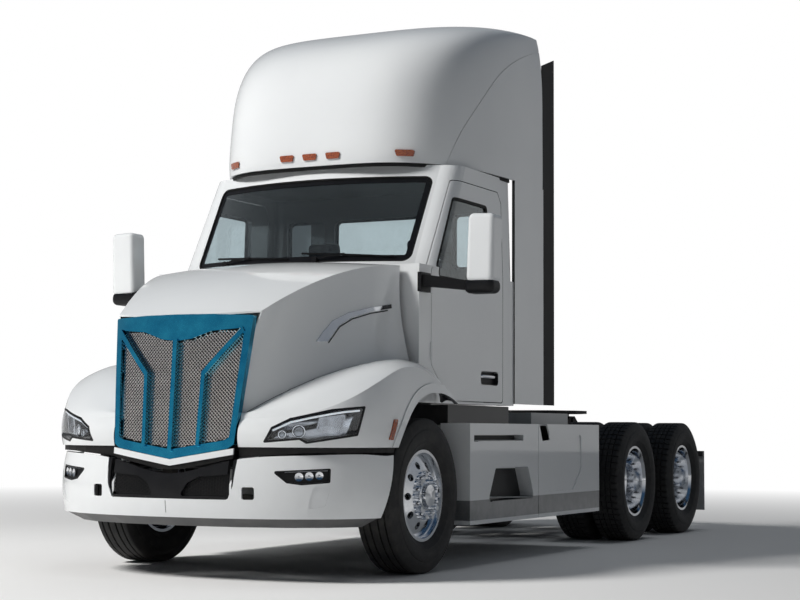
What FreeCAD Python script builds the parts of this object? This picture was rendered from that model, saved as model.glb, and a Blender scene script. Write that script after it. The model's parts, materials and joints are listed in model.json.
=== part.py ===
import FreeCAD
import Part
import Sketcher
import os
from math import copysign, cos, pi, sin, tan
from FreeCAD import Placement, Rotation, Vector

# A road tractor for semi-trailers. It faces -Y, its left side is +X, and it stands on Z = 0.
# Lengths along Y are written from the front axle, and each sub-part's Placement then
# moves it so that the middle of the tractor lies over the origin.

SIZES = {
    # Whole vehicle
    "overall_length": 7285, "front_overhang": 1300, "wheelbase": 4700, "tandem_spacing": 1320,
    "run_gap": 6, "seat_gap": 0.3,
    # Tyres and wheels
    "tyre_radius": 508, "tyre_width": 286, "rim_radius": 286, "rim_width": 210,
    "steer_track": 2050, "dual_track": 1810, "dual_spacing": 340, "axle_height": 508,
    "disc_thickness": 22, "hub_radius": 112, "hub_bore": 46, "hand_holes": 10,
    "hand_hole_radius": 24, "hand_hole_circle": 205, "stud_circle": 285.75, "stud_count": 10,
    # Frame
    "rail_spread": 864, "rail_depth": 270, "rail_flange": 85, "rail_web": 8,
    "frame_top": 950, "rail_front": -1080, "member_width": 100,
    # Front axle and steering
    "kingpin_spread": 1800, "kingpin_radius": 22, "boss_radius": 48, "boss_height": 180,
    "beam_depth": 95, "beam_width": 90, "beam_drop": 70, "spindle_radius": 45,
    "spring_width": 76, "spring_spread": 776, "spring_reach": 720, "spring_thickness": 42,
    "tie_rod_radius": 15, "steer_arm_length": 150,
    # Drive axles and their suspension
    "axle_tube_radius": 70, "bowl_radius": 205, "air_spring_radius": 125, "arm_width": 76,
    # Cab
    "cab_width": 2100, "cab_front": 100, "cab_back": 1700, "cab_floor": 1120,
    "belt_height": 2050, "cab_roof": 2812, "cab_wall": 50, "glass_rake": 0.554,
    "glass_bow": 215, "glass_thickness": 6, "pillar_width": 1800, "door_front": 285,
    "door_back": 1500, "door_top": 2700, "door_bottom": 1135, "door_sill": 1380,
    "door_pin": 6, "door_barrel": 11, "door_leaf": 30,
    # Roof fairing and extenders
    "fairing_foot": 2820, "fairing_top": 4028, "fairing_front": 450, "fairing_back": 2250,
    "fairing_width": 2120, "fairing_wall": 16, "extender_back": 2265, "extender_edge": 250,
    "extender_thickness": 24, "extender_bottom": 1134,
    # Hood, fenders and grille
    "hood_front": -1170, "hood_back": 60, "hood_wall": 12, "hood_nose": 1640,
    "hood_crown": 2078, "fender_width": 2430, "fender_front": -1200, "fender_back": 405,
    "fender_foot": 826, "grille_base": 747, "grille_top": 1641, "grille_foot": -1258,
    "grille_depth": 40, "hinge_y": -1205, "hinge_pin": 10, "hinge_z": 770,
    "lamp_turn": 35.5, "lamp_rim": 13, "arch_lip": 62, "arch_stand": 8, "trim_stand": 7,
    # Bumper
    "bumper_width": 2450, "bumper_bottom": 392, "bumper_top": 782,
    "bumper_dip": 660, "bumper_wall": 10, "fog_turn": 33.5, "hood_lip": 40,
    # Side fairings and energy boxes
    "skirt_side": 1210, "skirt_depth": 225, "skirt_wall": 12, "skirt_front": 574,
    "skirt_split": 1800, "skirt_back": 3090, "skirt_top": 985, "skirt_bottom": 290,
    "box_lap": 40,
    # Fifth wheel
    "coupling_height": 1120, "coupling_pivot": 1030, "coupling_width": 920,
    "coupling_reach": 430, "kingpin_bore": 26, "plate_thickness": 28,
    # Rear end
    "flap_width": 610, "flap_height": 565, "flap_bottom": 185, "flap_thickness": 8,
    "flap_stand": 72,
}

doc = FreeCAD.newDocument("Tractor")
sheet = doc.addObject("Spreadsheet::Sheet", "Sizes")
for row, (alias, value) in enumerate(SIZES.items(), 1):
    sheet.set(f"A{row}", alias)
    sheet.set(f"B{row}", str(value))
    sheet.setAlias(f"B{row}", alias)
doc.recompute()


class Measure:
    """A number together with the formula of sheet cells that gives it."""

    def __init__(self, value, formula):
        self.value = float(value)
        self.formula = formula

    def __float__(self):
        return self.value

    def __add__(self, other):
        other = measure(other)
        return Measure(self.value + other.value, f"({self.formula} + {other.formula})")

    def __sub__(self, other):
        other = measure(other)
        return Measure(self.value - other.value, f"({self.formula} - {other.formula})")

    def __mul__(self, other):
        other = measure(other)
        return Measure(self.value * other.value, f"({self.formula} * {other.formula})")

    def __truediv__(self, other):
        other = measure(other)
        return Measure(self.value / other.value, f"({self.formula} / {other.formula})")

    def __radd__(self, other):
        return measure(other) + self

    def __rsub__(self, other):
        return measure(other) - self

    def __rmul__(self, other):
        return measure(other) * self

    def __neg__(self):
        return measure(0) - self


def measure(number):
    """A bare number as a Measure; a Measure stays as it is."""
    if isinstance(number, Measure):
        return number
    return Measure(number, f"({float(number)})")


class Dimensions:
    """The cells of the sheet, each read by its alias."""

    def __getattr__(self, alias):
        return Measure(getattr(sheet, alias), f"Sizes.{alias}")


dim = Dimensions()


# Ways of making a piece

def point(x, y, z):
    return Vector(float(x), float(y), float(z))


def place(piece, x=0, y=0, z=0):
    """Bind the base of a piece's Placement to the sheet."""
    for axis, length in zip("xyz", (x, y, z)):
        piece.setExpression(f"Placement.Base.{axis}", measure(length).formula)
    return piece


def block(name, x, y, z):
    """A block between the two ends given on each axis."""
    piece = doc.addObject("Part::Box", name)
    for side, (low, high) in zip(("Length", "Width", "Height"), (x, y, z)):
        piece.setExpression(side, (measure(high) - low).formula)
    return place(piece, x[0], y[0], z[0])


TURNS = {
    "x": Rotation(Vector(0, 1, 0), 90),
    "y": Rotation(Vector(1, 0, 0), -90),
    "z": Rotation(),
}


def rod(name, axis, start, radius, length):
    """A round bar that runs from its start along a positive axis."""
    piece = doc.addObject("Part::Cylinder", name)
    piece.setExpression("Radius", measure(radius).formula)
    piece.setExpression("Height", measure(length).formula)
    piece.Placement = Placement(Vector(), TURNS[axis])
    return place(piece, *start)


def less(name, base, *tools):
    """A piece with others taken out of it."""
    piece = base
    for count, tool in enumerate(tools):
        cut = doc.addObject("Part::Cut", f"{name}_{count}")
        cut.Base = piece
        cut.Tool = tool
        piece = cut
    return piece


def fused(name, *parts):
    piece = doc.addObject("Part::MultiFuse", name)
    piece.Shapes = list(parts)
    return piece


def mirrored(source):
    """The same piece on the other side of the vehicle."""
    piece = doc.addObject("Part::Mirroring", source.Name + "_right")
    piece.Source = source
    piece.Normal = Vector(1, 0, 0)
    return piece


def both(source):
    return [source, mirrored(source)]


def outline(sketch, corners):
    """Draw a closed outline. A corner with a third entry is a point that an arc runs through."""
    ring = [[point(c[0], c[1], 0), c, None] for c in corners if len(c) == 2]
    index = -1
    for corner in corners:
        if len(corner) == 2:
            index += 1
        else:
            ring[index][2] = corner
    ends = []
    for number, (start, _, via) in enumerate(ring):
        stop = ring[(number + 1) % len(ring)][0]
        if via is None:
            line = sketch.addGeometry(Part.LineSegment(start, stop), False)
            ends.append((line, 1, 2))
            continue
        middle = point(via[0], via[1], 0)
        leftward = (middle - start).cross(stop - start).z > 0
        path = (start, middle, stop) if leftward else (stop, middle, start)
        arc = sketch.addGeometry(Part.Arc(*path), False)
        ends.append((arc, 1, 2) if leftward else (arc, 2, 1))
    for number, (edge, _, last) in enumerate(ends):
        after, first, _ = ends[(number + 1) % len(ends)]
        sketch.addConstraint(Sketcher.Constraint("Coincident", edge, last, after, first))
    for (start, corner, via), (edge, first, _) in zip(ring, ends):
        fix_point(sketch, edge, first, corner)
        if via is not None:
            spot = sketch.addGeometry(Part.Point(point(via[0], via[1], 0)), True)
            sketch.addConstraint(Sketcher.Constraint("PointOnObject", spot, 1, edge))
            fix_point(sketch, spot, 1, via)


def fix_point(sketch, edge, end, place_at):
    for kind, length in zip(("DistanceX", "DistanceY"), place_at):
        length = measure(length)
        number = sketch.addConstraint(Sketcher.Constraint(kind, -1, 1, edge, end, length.value))
        sketch.setExpression(f"Constraints[{number}]", length.formula)


def sketched(name, plane, corners):
    body = doc.addObject("PartDesign::Body", name)
    sketch = body.newObject("Sketcher::SketchObject", name + "_outline")
    origin = [part for part in body.Origin.OriginFeatures if part.Role == plane][0]
    sketch.AttachmentSupport = [(origin, "")]
    sketch.MapMode = "FlatFace"
    outline(sketch, corners)
    return body, sketch


def plate(name, plane, corners, start, length):
    """An outline on XY, XZ or YZ, made solid from start over a length along the third axis."""
    body, sketch = sketched(name, plane + "_Plane", corners)
    pad = body.newObject("PartDesign::Pad", name + "_pad")
    pad.Profile = sketch
    pad.setExpression("Length", measure(length).formula)
    if plane == "XY":
        return place(body, z=start)
    if plane == "YZ":
        return place(body, x=start)
    return place(body, y=measure(start) + length)


def turned(name, corners):
    """An outline of (place along X, radius) turned about the X axis."""
    body, sketch = sketched(name, "XZ_Plane", corners)
    turn = body.newObject("PartDesign::Revolution", name + "_turn")
    turn.Profile = sketch
    turn.ReferenceAxis = (sketch, ["H_Axis"])
    turn.Angle = 360
    return body


def formed(name, shape):
    """A curved piece made from its own surfaces."""
    piece = doc.addObject("Part::Feature", name)
    piece.Shape = shape
    return piece


def closed_wire(spans):
    """Spans of points, end to end: two points are a straight edge and more are a smooth one."""
    edges = []
    for span in spans:
        if len(span) == 2:
            edges.append(Part.LineSegment(*span).toShape())
        else:
            curve = Part.BSplineCurve()
            curve.interpolate(span)
            edges.append(curve.toShape())
    return Part.Wire(edges)


def loft(stations, ruled=False):
    return Part.makeLoft([closed_wire(spans) for spans in stations], True, ruled)


def walled(spans, inward):
    """A line of spans, and the same line moved inwards, closed by two short ends."""
    inside = [[inward(spot) for spot in reversed(span)] for span in reversed(spans)]
    near_end = [spans[-1][-1], inside[0][0]]
    far_end = [inside[-1][-1], spans[0][0]]
    return spans + [near_end] + inside + [far_end]


def skin_through(grid):
    skin = Part.BSplineSurface()
    skin.interpolate(grid)
    return skin


def wall_between(outer, inner):
    """The closed wall between two skins that have the same layout."""
    def rims(skin):
        left, right, low, high = skin.bounds()
        lines = [skin.uIso(left), skin.uIso(right), skin.vIso(low), skin.vIso(high)]
        return [line.toShape() for line in lines]

    faces = [outer.toShape(), inner.toShape()]
    faces += [Part.makeRuledSurface(*pair) for pair in zip(rims(outer), rims(inner))]
    shell = Part.makeShell(faces)
    shell.sewShape()
    return Part.makeSolid(shell)


def surface_wall(grid, out, depth):
    """A wall of even thickness: the grid's surface, and one that lies deeper along its normal."""
    base = skin_through(grid)

    def moved(distance):
        rows = []
        for row in grid:
            rows.append([spot + base.normal(*base.parameter(spot)) * distance for spot in row])
        return skin_through(rows)

    return wall_between(moved(out), moved(out - depth))


def rounded(spots, radius):
    """A closed wire through corners, with an arc of the radius at every corner."""
    turns = []
    for before, corner, after in zip(spots[-1:] + spots[:-1], spots, spots[1:] + spots[:1]):
        back, ahead = (before - corner).normalize(), (after - corner).normalize()
        half = back.getAngle(ahead) / 2
        reach = radius / tan(half)
        middle = corner + (back + ahead).normalize() * (radius / sin(half) - radius)
        turns.append((corner + back * reach, middle, corner + ahead * reach))
    edges = []
    for (start, middle, stop), (following, _, _) in zip(turns, turns[1:] + turns[:1]):
        edges.append(Part.Arc(start, middle, stop).toShape())
        edges.append(Part.LineSegment(stop, following).toShape())
    return Part.Wire(edges)


def prism(spots, direction, radius=0):
    """Corners, rounded or sharp, pushed along a direction."""
    if radius:
        return Part.Face(rounded(spots, radius)).extrude(direction)
    return Part.Face(Part.makePolygon(spots + spots[:1])).extrude(direction)


def front_prism(corners, y, length, radius=0):
    """An outline of (x, z) corners pushed rearwards from y."""
    return prism([point(x, y, z) for x, z in corners], point(0, length, 0), radius)


def side_prism(corners, x, length, radius=0):
    """An outline of (y, z) corners pushed outwards from x."""
    return prism([point(x, y, z) for y, z in corners], point(length, 0, 0), radius)


def corner_prism(corners, near, far, turn, radius=0):
    """An outline on an upright plane that is turned outwards, as a block between two depths."""
    shape = front_prism(corners, -far, far - near, radius)
    return shape.rotate(Vector(), Vector(0, 0, 1), turn)


def power(number, exponent):
    return copysign(abs(number) ** exponent, number)


def ease(share, exponent):
    """A share of a run that changes fast at first and settles at its end."""
    return 1 - (1 - share) ** exponent


def between(low, high, share):
    return float(low) + (float(high) - float(low)) * share


NODES = {}


def node(name, *parts):
    """Gather the solids of one sub-part under its own label, with its own Placement."""
    piece = doc.addObject("Part::Compound", name)
    piece.Links = list(parts)
    piece.Label = name
    place(piece, y=dim.front_overhang - dim.overall_length / 2)
    NODES[name] = piece
    return piece


# Frame

rail_outer = dim.rail_spread / 2
rail_inner = rail_outer - dim.rail_flange
rail_face = rail_outer - dim.rail_web
frame_low = dim.frame_top - dim.rail_depth
rail_rear = dim.overall_length - dim.front_overhang - dim.flap_stand - dim.flap_thickness
rail_length = rail_rear - dim.rail_front


def frame_rails():
    web, top, low = dim.rail_web, dim.frame_top, frame_low
    section = [
        (rail_outer, low), (rail_outer, top), (rail_inner, top), (rail_inner, top - web),
        (rail_face, top - web), (rail_face, low + web), (rail_inner, low + web),
        (rail_inner, low),
    ]
    node("frame_rails", *both(plate("rail", "XZ", section, dim.rail_front, rail_length)))


def crossmember(name, rear):
    """A channel between the webs of the rails, its back at the given place."""
    low, top = frame_low + dim.rail_web, dim.frame_top - dim.rail_web
    web, front = dim.rail_web, rear - dim.member_width
    section = [
        (rear, low), (rear, top), (front, top), (front, top - web), (rear - web, top - web),
        (rear - web, low + web), (front, low + web), (front, low),
    ]
    return plate(name, "YZ", section, -rail_face, rail_face * 2)


def crossmembers():
    places = [
        dim.rail_front + dim.member_width, dim.cab_back, dim.skirt_back,
        dim.wheelbase - dim.tandem_spacing / 2 - 300, dim.wheelbase + dim.member_width / 2,
        rail_rear,
    ]
    node("crossmembers", *[crossmember(f"member_{i}", rear) for i, rear in enumerate(places)])


# Front axle, springs and steering

kingpin_x = dim.kingpin_spread / 2
pad_height = dim.axle_height + 10
spring_x = dim.spring_spread / 2


def front_axle_beam():
    low = dim.axle_height - dim.beam_depth / 2
    top = low + dim.beam_depth
    drop = dim.beam_drop
    bend, rise = spring_x + 130, kingpin_x - 140
    end = kingpin_x
    half = [(bend, low - drop), (rise, low), (end, low), (end, top), (rise, top),
            (bend, top - drop)]
    other = [(-x, z) for x, z in reversed(half)]
    beam = plate("beam", "XZ", half + other, -dim.beam_width / 2, dim.beam_width)
    parts = [beam]
    for side, x in (("left", kingpin_x), ("right", -kingpin_x)):
        foot = dim.axle_height - dim.boss_height / 2
        parts.append(rod(f"boss_{side}", "z", (x, 0, foot), dim.boss_radius, dim.boss_height))
    for side, x in (("left", spring_x), ("right", -spring_x)):
        wide = dim.spring_width / 2 + 8
        parts.append(block(f"pad_{side}", (x - wide, x + wide), (-110, 110),
                           (top - drop, pad_height)))
    holes = []
    for side, x in (("left", kingpin_x), ("right", -kingpin_x)):
        start = (x, 0, dim.axle_height - dim.boss_height)
        holes.append(rod(f"bore_{side}", "z", start, dim.kingpin_radius + 1,
                         dim.boss_height * 2))
    node("front_axle_beam", less("axle", fused("axle_solid", *parts), *holes))


def front_springs():
    """Leaf packs on the axle's pads, with a hanger at each end under the rail."""
    thick, reach = dim.spring_thickness, dim.spring_reach
    seat = pad_height
    eye = frame_low - 48
    start = spring_x - dim.spring_width / 2
    leaf = [
        (-reach, eye), (-reach / 2, seat + (eye - seat) * 0.27), (-120, seat), (120, seat),
        (reach / 2, seat + (eye - seat) * 0.27), (reach, eye), (reach, eye + thick / 3),
        (reach / 2, seat + (eye - seat) * 0.27 + thick * 0.8), (120, seat + thick),
        (-120, seat + thick), (-reach / 2, seat + (eye - seat) * 0.27 + thick * 0.8),
        (-reach, eye + thick / 3),
    ]
    parts = [plate("leaf_pack", "YZ", leaf, start, dim.spring_width)]
    for end, y in (("front", -reach), ("rear", reach - 70)):
        parts.append(block(f"hanger_{end}", (start, start + dim.spring_width), (y, y + 70),
                           (eye + thick / 3 - 4, frame_low)))
    node("front_springs", *both(fused("spring", *parts)))


def knuckle():
    """A yoke round the end of the axle beam, the spindle that the hub turns on, and the arm."""
    z = dim.axle_height
    lug = 34
    inner_half = dim.boss_height / 2 + dim.run_gap / 2
    outer_half = inner_half + lug
    lug_x = (kingpin_x - dim.boss_radius, kingpin_x + dim.boss_radius + 24)
    parts = [
        block("yoke_top", lug_x, (-42, 42), (z + inner_half, z + outer_half)),
        block("yoke_low", lug_x, (-42, 42), (z - outer_half, z - inner_half)),
        block("yoke_back", (kingpin_x + dim.boss_radius + 6, kingpin_x + dim.boss_radius + 34),
              (-58, 58), (z - outer_half, z + outer_half)),
        rod("spindle", "x", (kingpin_x + dim.boss_radius + 30, 0, z), dim.spindle_radius, 150),
        rod("pin", "z", (kingpin_x, 0, z - outer_half), dim.kingpin_radius, outer_half * 2),
    ]
    arm_z = z - outer_half + 4
    arm = plate("steer_arm", "XY", [
        (kingpin_x - 36, 20), (kingpin_x + 36, 20), (kingpin_x + 24, dim.steer_arm_length),
        (kingpin_x, dim.steer_arm_length + 24, "through"),
        (kingpin_x - 24, dim.steer_arm_length),
    ], arm_z - 30, 30)
    parts.append(arm)
    parts.append(rod("ball_stud", "z", (kingpin_x, dim.steer_arm_length, rod_z - 30), 9, 40))
    solid = fused("knuckle_solid", *parts)
    return solid


def knuckles():
    left = knuckle()
    node("knuckle_left", left)
    node("knuckle_right", mirrored(left))


rod_end_x = kingpin_x
rod_z = dim.axle_height - dim.boss_height / 2 - dim.run_gap / 2 - 61


def tie_rod():
    """The rod that joins the two steering arms, hung from a pin at each end."""
    y, z = dim.steer_arm_length, rod_z - dim.tie_rod_radius - 2
    bar = rod("tie_bar", "x", (-rod_end_x, y, z), dim.tie_rod_radius, rod_end_x * 2)
    ends = [bar]
    for side, x in (("left", rod_end_x), ("right", -rod_end_x)):
        ends.append(rod(f"tie_end_{side}", "z", (x, y, rod_z - dim.tie_rod_radius * 2 - 4), 22,
                        dim.tie_rod_radius * 2 + 4))
    bores = [rod("tie_bore_left", "z", (rod_end_x, y, z - 30), 9.08, 60),
             rod("tie_bore_right", "z", (-rod_end_x, y, z - 30), 9.3, 60)]
    node("tie_rod", less("tie_rod_cut", fused("tie_rod_solid", *ends), *bores))


# Wheels and tyres

def tyre_outline(centre):
    """Half section of a tyre about a place along X: bead, sidewall, shoulder and tread."""
    half, top, bead = dim.tyre_width / 2, dim.tyre_radius, dim.rim_radius
    foot = dim.rim_width / 2
    tread = half - 22
    wall = (top + bead) / 2 + 4
    inner = 17
    return [
        (centre - foot + 5, bead), (centre - foot + 5, bead + 16),
        (centre - half, wall - 46, "through"),
        (centre - half + 5, wall + 40), (centre - tread, top - 8),
        (centre - tread + 12, top - 1), (centre + tread - 12, top - 1),
        (centre + tread, top - 8), (centre + half - 5, wall + 40),
        (centre + half, wall - 46, "through"), (centre + foot - 5, bead + 16),
        (centre + foot - 5, bead), (centre + foot - inner, bead),
        (centre + half - inner - 14, wall - 46, "through"),
        (centre + tread - inner, top - 34), (centre - tread + inner, top - 34),
        (centre - half + inner + 14, wall - 46, "through"), (centre - foot + inner, bead),
    ]


def rim_outline(centre):
    """A drop-centre rim about a place along X."""
    foot, bead, lip = dim.rim_width / 2, dim.rim_radius, 6
    side = foot - 5 + dim.seat_gap
    return [
        (centre - foot - lip, bead + 14), (centre - side, bead + 14), (centre - side, bead - 0.3),
        (centre + side, bead - 0.3), (centre + side, bead + 14),
        (centre + foot + lip, bead + 14), (centre + foot + lip, bead - 6),
        (centre + foot - 20, bead - 14), (centre - foot + 20, bead - 14),
        (centre - foot - lip, bead - 6),
    ]


def wheel_disc(name, x, slope):
    """The disc of a wheel: a flat mounting ring, a coned web and the ring that meets the rim."""
    thick = dim.disc_thickness
    hub, rim = dim.hub_bore, dim.rim_radius - 13
    ring = dim.stud_circle / 2 + 26
    disc = turned(name, [
        (x, hub + 40), (x, ring), (x + slope, rim), (x + slope + thick * 0.7, rim),
        (x + thick, ring), (x + thick, hub + 40),
    ])
    return disc


def ring_of(name, count, circle, radius, x, length):
    """Round bars spread evenly on a circle about the X axis, as one piece."""
    bars = []
    for number in range(int(round(float(count)))):
        angle = 2 * pi * number / float(count)
        bars.append(rod(f"{name}_{number}", "x",
                        (x, circle * cos(angle), circle * sin(angle)), radius, length))
    piece = doc.addObject("Part::Compound", name)
    piece.Links = bars
    return piece


def steer_wheel():
    """A front wheel: rim, disc with its mounting face outwards, hub, cap and nut covers."""
    centre = dim.steer_track / 2
    disc_x = centre + 96
    rim = turned("steer_rim", rim_outline(centre))
    disc = wheel_disc("steer_disc", disc_x, -40)
    holes = ring_of("steer_holes", dim.hand_holes, dim.hand_hole_circle,
                    dim.hand_hole_radius, disc_x - 80, 160)
    covers = ring_of("steer_covers", dim.stud_count, dim.stud_circle / 2, 17,
                     disc_x + dim.disc_thickness - 2, 44)
    hub_start = kingpin_x + dim.boss_radius + 34 + dim.run_gap
    bore, hub = dim.spindle_radius + 1, dim.hub_radius
    hub_solid = turned("steer_hub", [
        (hub_start, bore), (hub_start, hub + 60), (hub_start + 60, hub + 60),
        (hub_start + 60, hub), (disc_x - 1, hub), (disc_x - 1, hub - 22), (disc_x + 34, hub - 24),
        (disc_x + 40, hub - 34), (disc_x + 66, hub - 40), (disc_x + 70, 0), (disc_x + 44, 0),
        (disc_x + 44, bore),
    ])
    return fused("steer_wheel_solid", rim, less("steer_web", disc, holes), hub_solid, covers)


def dual_wheel(name):
    """A pair of rear wheels bolted face to face on one hub, the outer one dished inwards."""
    mount = dim.dual_track / 2
    hub = dim.hub_radius
    parts = []
    for label, side in (("out", 1), ("in", -1)):
        parts.append(turned(f"{name}_rim_{label}",
                            rim_outline(mount + side * dim.dual_spacing / 2)))
        x = mount if side > 0 else mount - dim.disc_thickness
        disc = wheel_disc(f"{name}_disc_{label}", x, side * 95)
        holes = ring_of(f"{name}_holes_{label}", dim.hand_holes, dim.hand_hole_circle,
                        dim.hand_hole_radius, x - 110, 240)
        parts.append(less(f"{name}_web_{label}", disc, holes))
    parts.append(ring_of(f"{name}_nuts", dim.stud_count, dim.stud_circle / 2, 17,
                         mount + dim.disc_thickness - 2, 34))
    start, end = mount - 300, mount + 120
    bore = dim.spindle_radius + 1
    parts.append(turned(name + "_hub", [
        (start, bore), (start, hub + 62), (start + 180, hub + 62), (start + 200, hub + 20),
        (mount + 10, hub - 10), (mount + 30, hub - 20), (end - 10, hub - 24), (end, hub - 36),
        (end + 8, 0), (end - 16, 0), (end - 16, bore),
    ]))
    return fused(name + "_solid", *parts)


def wheels():
    z = dim.axle_height
    front_tyre = turned("steer_tyre", tyre_outline(dim.steer_track / 2))
    place(front_tyre, z=z)
    node("tyre_front_left", front_tyre)
    node("tyre_front_right", mirrored(front_tyre))
    front = steer_wheel()
    place(front, z=z)
    node("wheel_front_left", front)
    node("wheel_front_right", mirrored(front))
    middle = dim.dual_track / 2
    for axle, shift in (("mid", -dim.tandem_spacing / 2), ("rear", dim.tandem_spacing / 2)):
        y = dim.wheelbase + shift
        tyres = []
        for label, offset in (("out", dim.dual_spacing / 2), ("in", -dim.dual_spacing / 2)):
            tyre = turned(f"{axle}_tyre_{label}", tyre_outline(middle + offset))
            tyres.append(place(tyre, y=y, z=z))
        node(f"tyres_{axle}_left", *tyres)
        node(f"tyres_{axle}_right", *[mirrored(tyre) for tyre in tyres])
        pair = dual_wheel(axle)
        place(pair, y=y, z=z)
        node(f"wheels_{axle}_left", pair)
        node(f"wheels_{axle}_right", mirrored(pair))


# Drive axles and air suspension

def drive_axles():
    """Each axle is one turned piece with a round bowl in the middle; a shaft flange faces ahead."""
    parts = []
    inner_face = dim.dual_track / 2 - dim.dual_spacing / 2 - dim.tyre_width / 2
    reach, end = inner_face - 20, dim.dual_track / 2 + 95
    tube, bowl, spindle = dim.axle_tube_radius, dim.bowl_radius, dim.spindle_radius
    half = [(90, bowl), (150, bowl - 32), (205, bowl - 95), (260, tube), (reach, tube),
            (reach, spindle), (end, spindle), (end, 0)]
    outline_points = [(-x, r) for x, r in reversed(half)] + half
    for axle, shift in (("mid", -dim.tandem_spacing / 2), ("rear", dim.tandem_spacing / 2)):
        y, z = dim.wheelbase + shift, dim.axle_height
        casing = place(turned(f"{axle}_casing", outline_points), y=y, z=z)
        drive = rod(f"{axle}_drive", "y", (0, y - bowl - 150, z), 95, 300)
        parts.append(fused(f"{axle}_axle", casing, drive))
    node("drive_axles", *parts)


def rear_suspension():
    """Trailing arms from brackets under the rails, with an air spring behind each axle."""
    parts = []
    x = rail_outer - dim.rail_flange / 2
    wide = dim.arm_width / 2
    tube_low = dim.axle_height - dim.axle_tube_radius
    for axle, shift in (("mid", -dim.tandem_spacing / 2), ("rear", dim.tandem_spacing / 2)):
        y = dim.wheelbase + shift
        arm = plate(f"{axle}_arm", "YZ", [
            (y - 520, tube_low - 4), (y - 120, tube_low - 70), (y + 120, tube_low - 70),
            (y + 330, tube_low - 40), (y + 330, tube_low), (y + 60, tube_low),
            (y - 120, tube_low), (y - 480, tube_low + 50),
        ], x - wide, wide * 2)
        bracket = plate(f"{axle}_bracket", "YZ", [
            (y - 560, frame_low), (y - 540, tube_low - 20), (y - 460, tube_low - 20),
            (y - 400, frame_low),
        ], x - wide, wide * 2)
        bag_height = frame_low - tube_low
        bag = rod(f"{axle}_bag", "z", (x, y + 235, tube_low), dim.air_spring_radius * 0.72,
                  bag_height)
        seat = less(f"{axle}_saddle",
                    block(f"{axle}_seat", (x - wide, x + wide), (y - 60, y + 60),
                          (tube_low - 2, tube_low + 40)),
                    rod(f"{axle}_tube_bore", "x", (x - wide, y, dim.axle_height),
                        dim.axle_tube_radius + dim.seat_gap, wide * 2))
        parts += both(less(f"{axle}_arm_cut", fused(f"{axle}_side", arm, bracket, bag, seat),
                           rod(f"{axle}_tube_room", "x", (x - wide, y, dim.axle_height),
                               dim.axle_tube_radius + dim.seat_gap, wide * 2)))
    node("rear_suspension", *parts)


# Cab

cab_half = dim.cab_width / 2


def greenhouse_ring(height, inset):
    """The plan outline of the upper cab at a height: bowed front, pillars, sides and back."""
    rise = height - float(dim.belt_height)
    half = float(cab_half) - 0.03 * rise - inset
    pillar = float(dim.pillar_width) / 2 - inset * 0.9
    front = float(dim.cab_front) + float(dim.glass_rake) * rise + inset * 1.12
    bow = float(dim.glass_bow)
    back = float(dim.cab_back) - inset
    corner = 70
    swept = (pillar / (float(dim.pillar_width) / 2)) ** 2 * bow

    def spot(x, y):
        return point(x, y, height)

    glass = [spot(pillar * s, front + swept * s * s) for s in (-1, -0.5, 0, 0.5, 1)]
    right_pillar = [glass[-1], spot((pillar + half) / 2 + 18, front + swept + 42),
                    spot(half, front + swept + 150)]
    left_pillar = [spot(-half, front + swept + 150),
                   spot(-(pillar + half) / 2 - 18, front + swept + 42), glass[0]]
    turn = 0.3 * corner
    return [
        glass, right_pillar, [right_pillar[-1], spot(half, back - corner)],
        [spot(half, back - corner), spot(half - turn, back - turn), spot(half - corner, back)],
        [spot(half - corner, back), spot(corner - half, back)],
        [spot(corner - half, back), spot(turn - half, back - turn), spot(-half, back - corner)],
        [spot(-half, back - corner), left_pillar[0]], left_pillar,
    ]


def cab_solid(inset):
    """The whole outer form of the cab, drawn in by an inset on every side."""
    half = float(cab_half) - inset
    base = float(dim.cab_floor) + inset
    belt = float(dim.belt_height)
    roof = float(dim.cab_roof) - inset
    front, back = float(dim.cab_front) + inset, float(dim.cab_back) - inset
    lower = Part.makeBox(2 * half, back - front, belt - base, point(-half, front, base))
    rings = [greenhouse_ring(belt, inset), greenhouse_ring(roof, inset)]
    upper = loft(rings, ruled=True)
    return lower.fuse(upper).removeSplitter()


def drawn_in(corners, gap):
    """An outline of straight runs with every run moved inwards by a gap."""
    area = sum(x0 * y1 - x1 * y0 for (x0, y0), (x1, y1) in
               zip(corners, corners[1:] + corners[:1]))
    sign = 1 if area > 0 else -1
    runs = []
    for (x0, y0), (x1, y1) in zip(corners, corners[1:] + corners[:1]):
        length = ((x1 - x0) ** 2 + (y1 - y0) ** 2) ** 0.5
        dx, dy = (x1 - x0) / length, (y1 - y0) / length
        runs.append((x0 - sign * dy * gap, y0 + sign * dx * gap, dx, dy))
    moved = []
    for (x0, y0, dx0, dy0), (x1, y1, dx1, dy1) in zip([runs[-1]] + runs[:-1], runs):
        cross = dx0 * dy1 - dy0 * dx1
        along = ((x1 - x0) * dy1 - (y1 - y0) * dx1) / cross
        moved.append((x0 + dx0 * along, y0 + dy0 * along))
    return moved


def door_corners(gap):
    """The side view outline of a door's opening, drawn in by a gap."""
    front, back = float(dim.door_front) + gap, float(dim.door_back) - gap
    top, low = float(dim.door_top) - gap, float(dim.door_bottom) + gap
    belt = float(dim.belt_height)
    lean = float(dim.glass_rake)
    top_front = front + 70 + lean * (top - belt)
    return [
        (front, float(dim.door_sill) + gap), (front, belt - 20), (front + 70, belt + 20),
        (top_front, top), (back - 60, top), (back, top - 80), (back, low),
        (front + 275, low),
    ]


def window_corners():
    """The side view outline of a door's window, its front edge beside the sloping pillar."""
    front, low = float(dim.door_front) + 105, float(dim.belt_height) - 75
    top, bend, back = low + 597, low + 100, float(dim.door_back) - 255
    return [
        (front, low), (front + 22, bend), (front + 22 + float(dim.glass_rake) * (top - bend), top),
        (back, top), (back, low),
    ]


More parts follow.
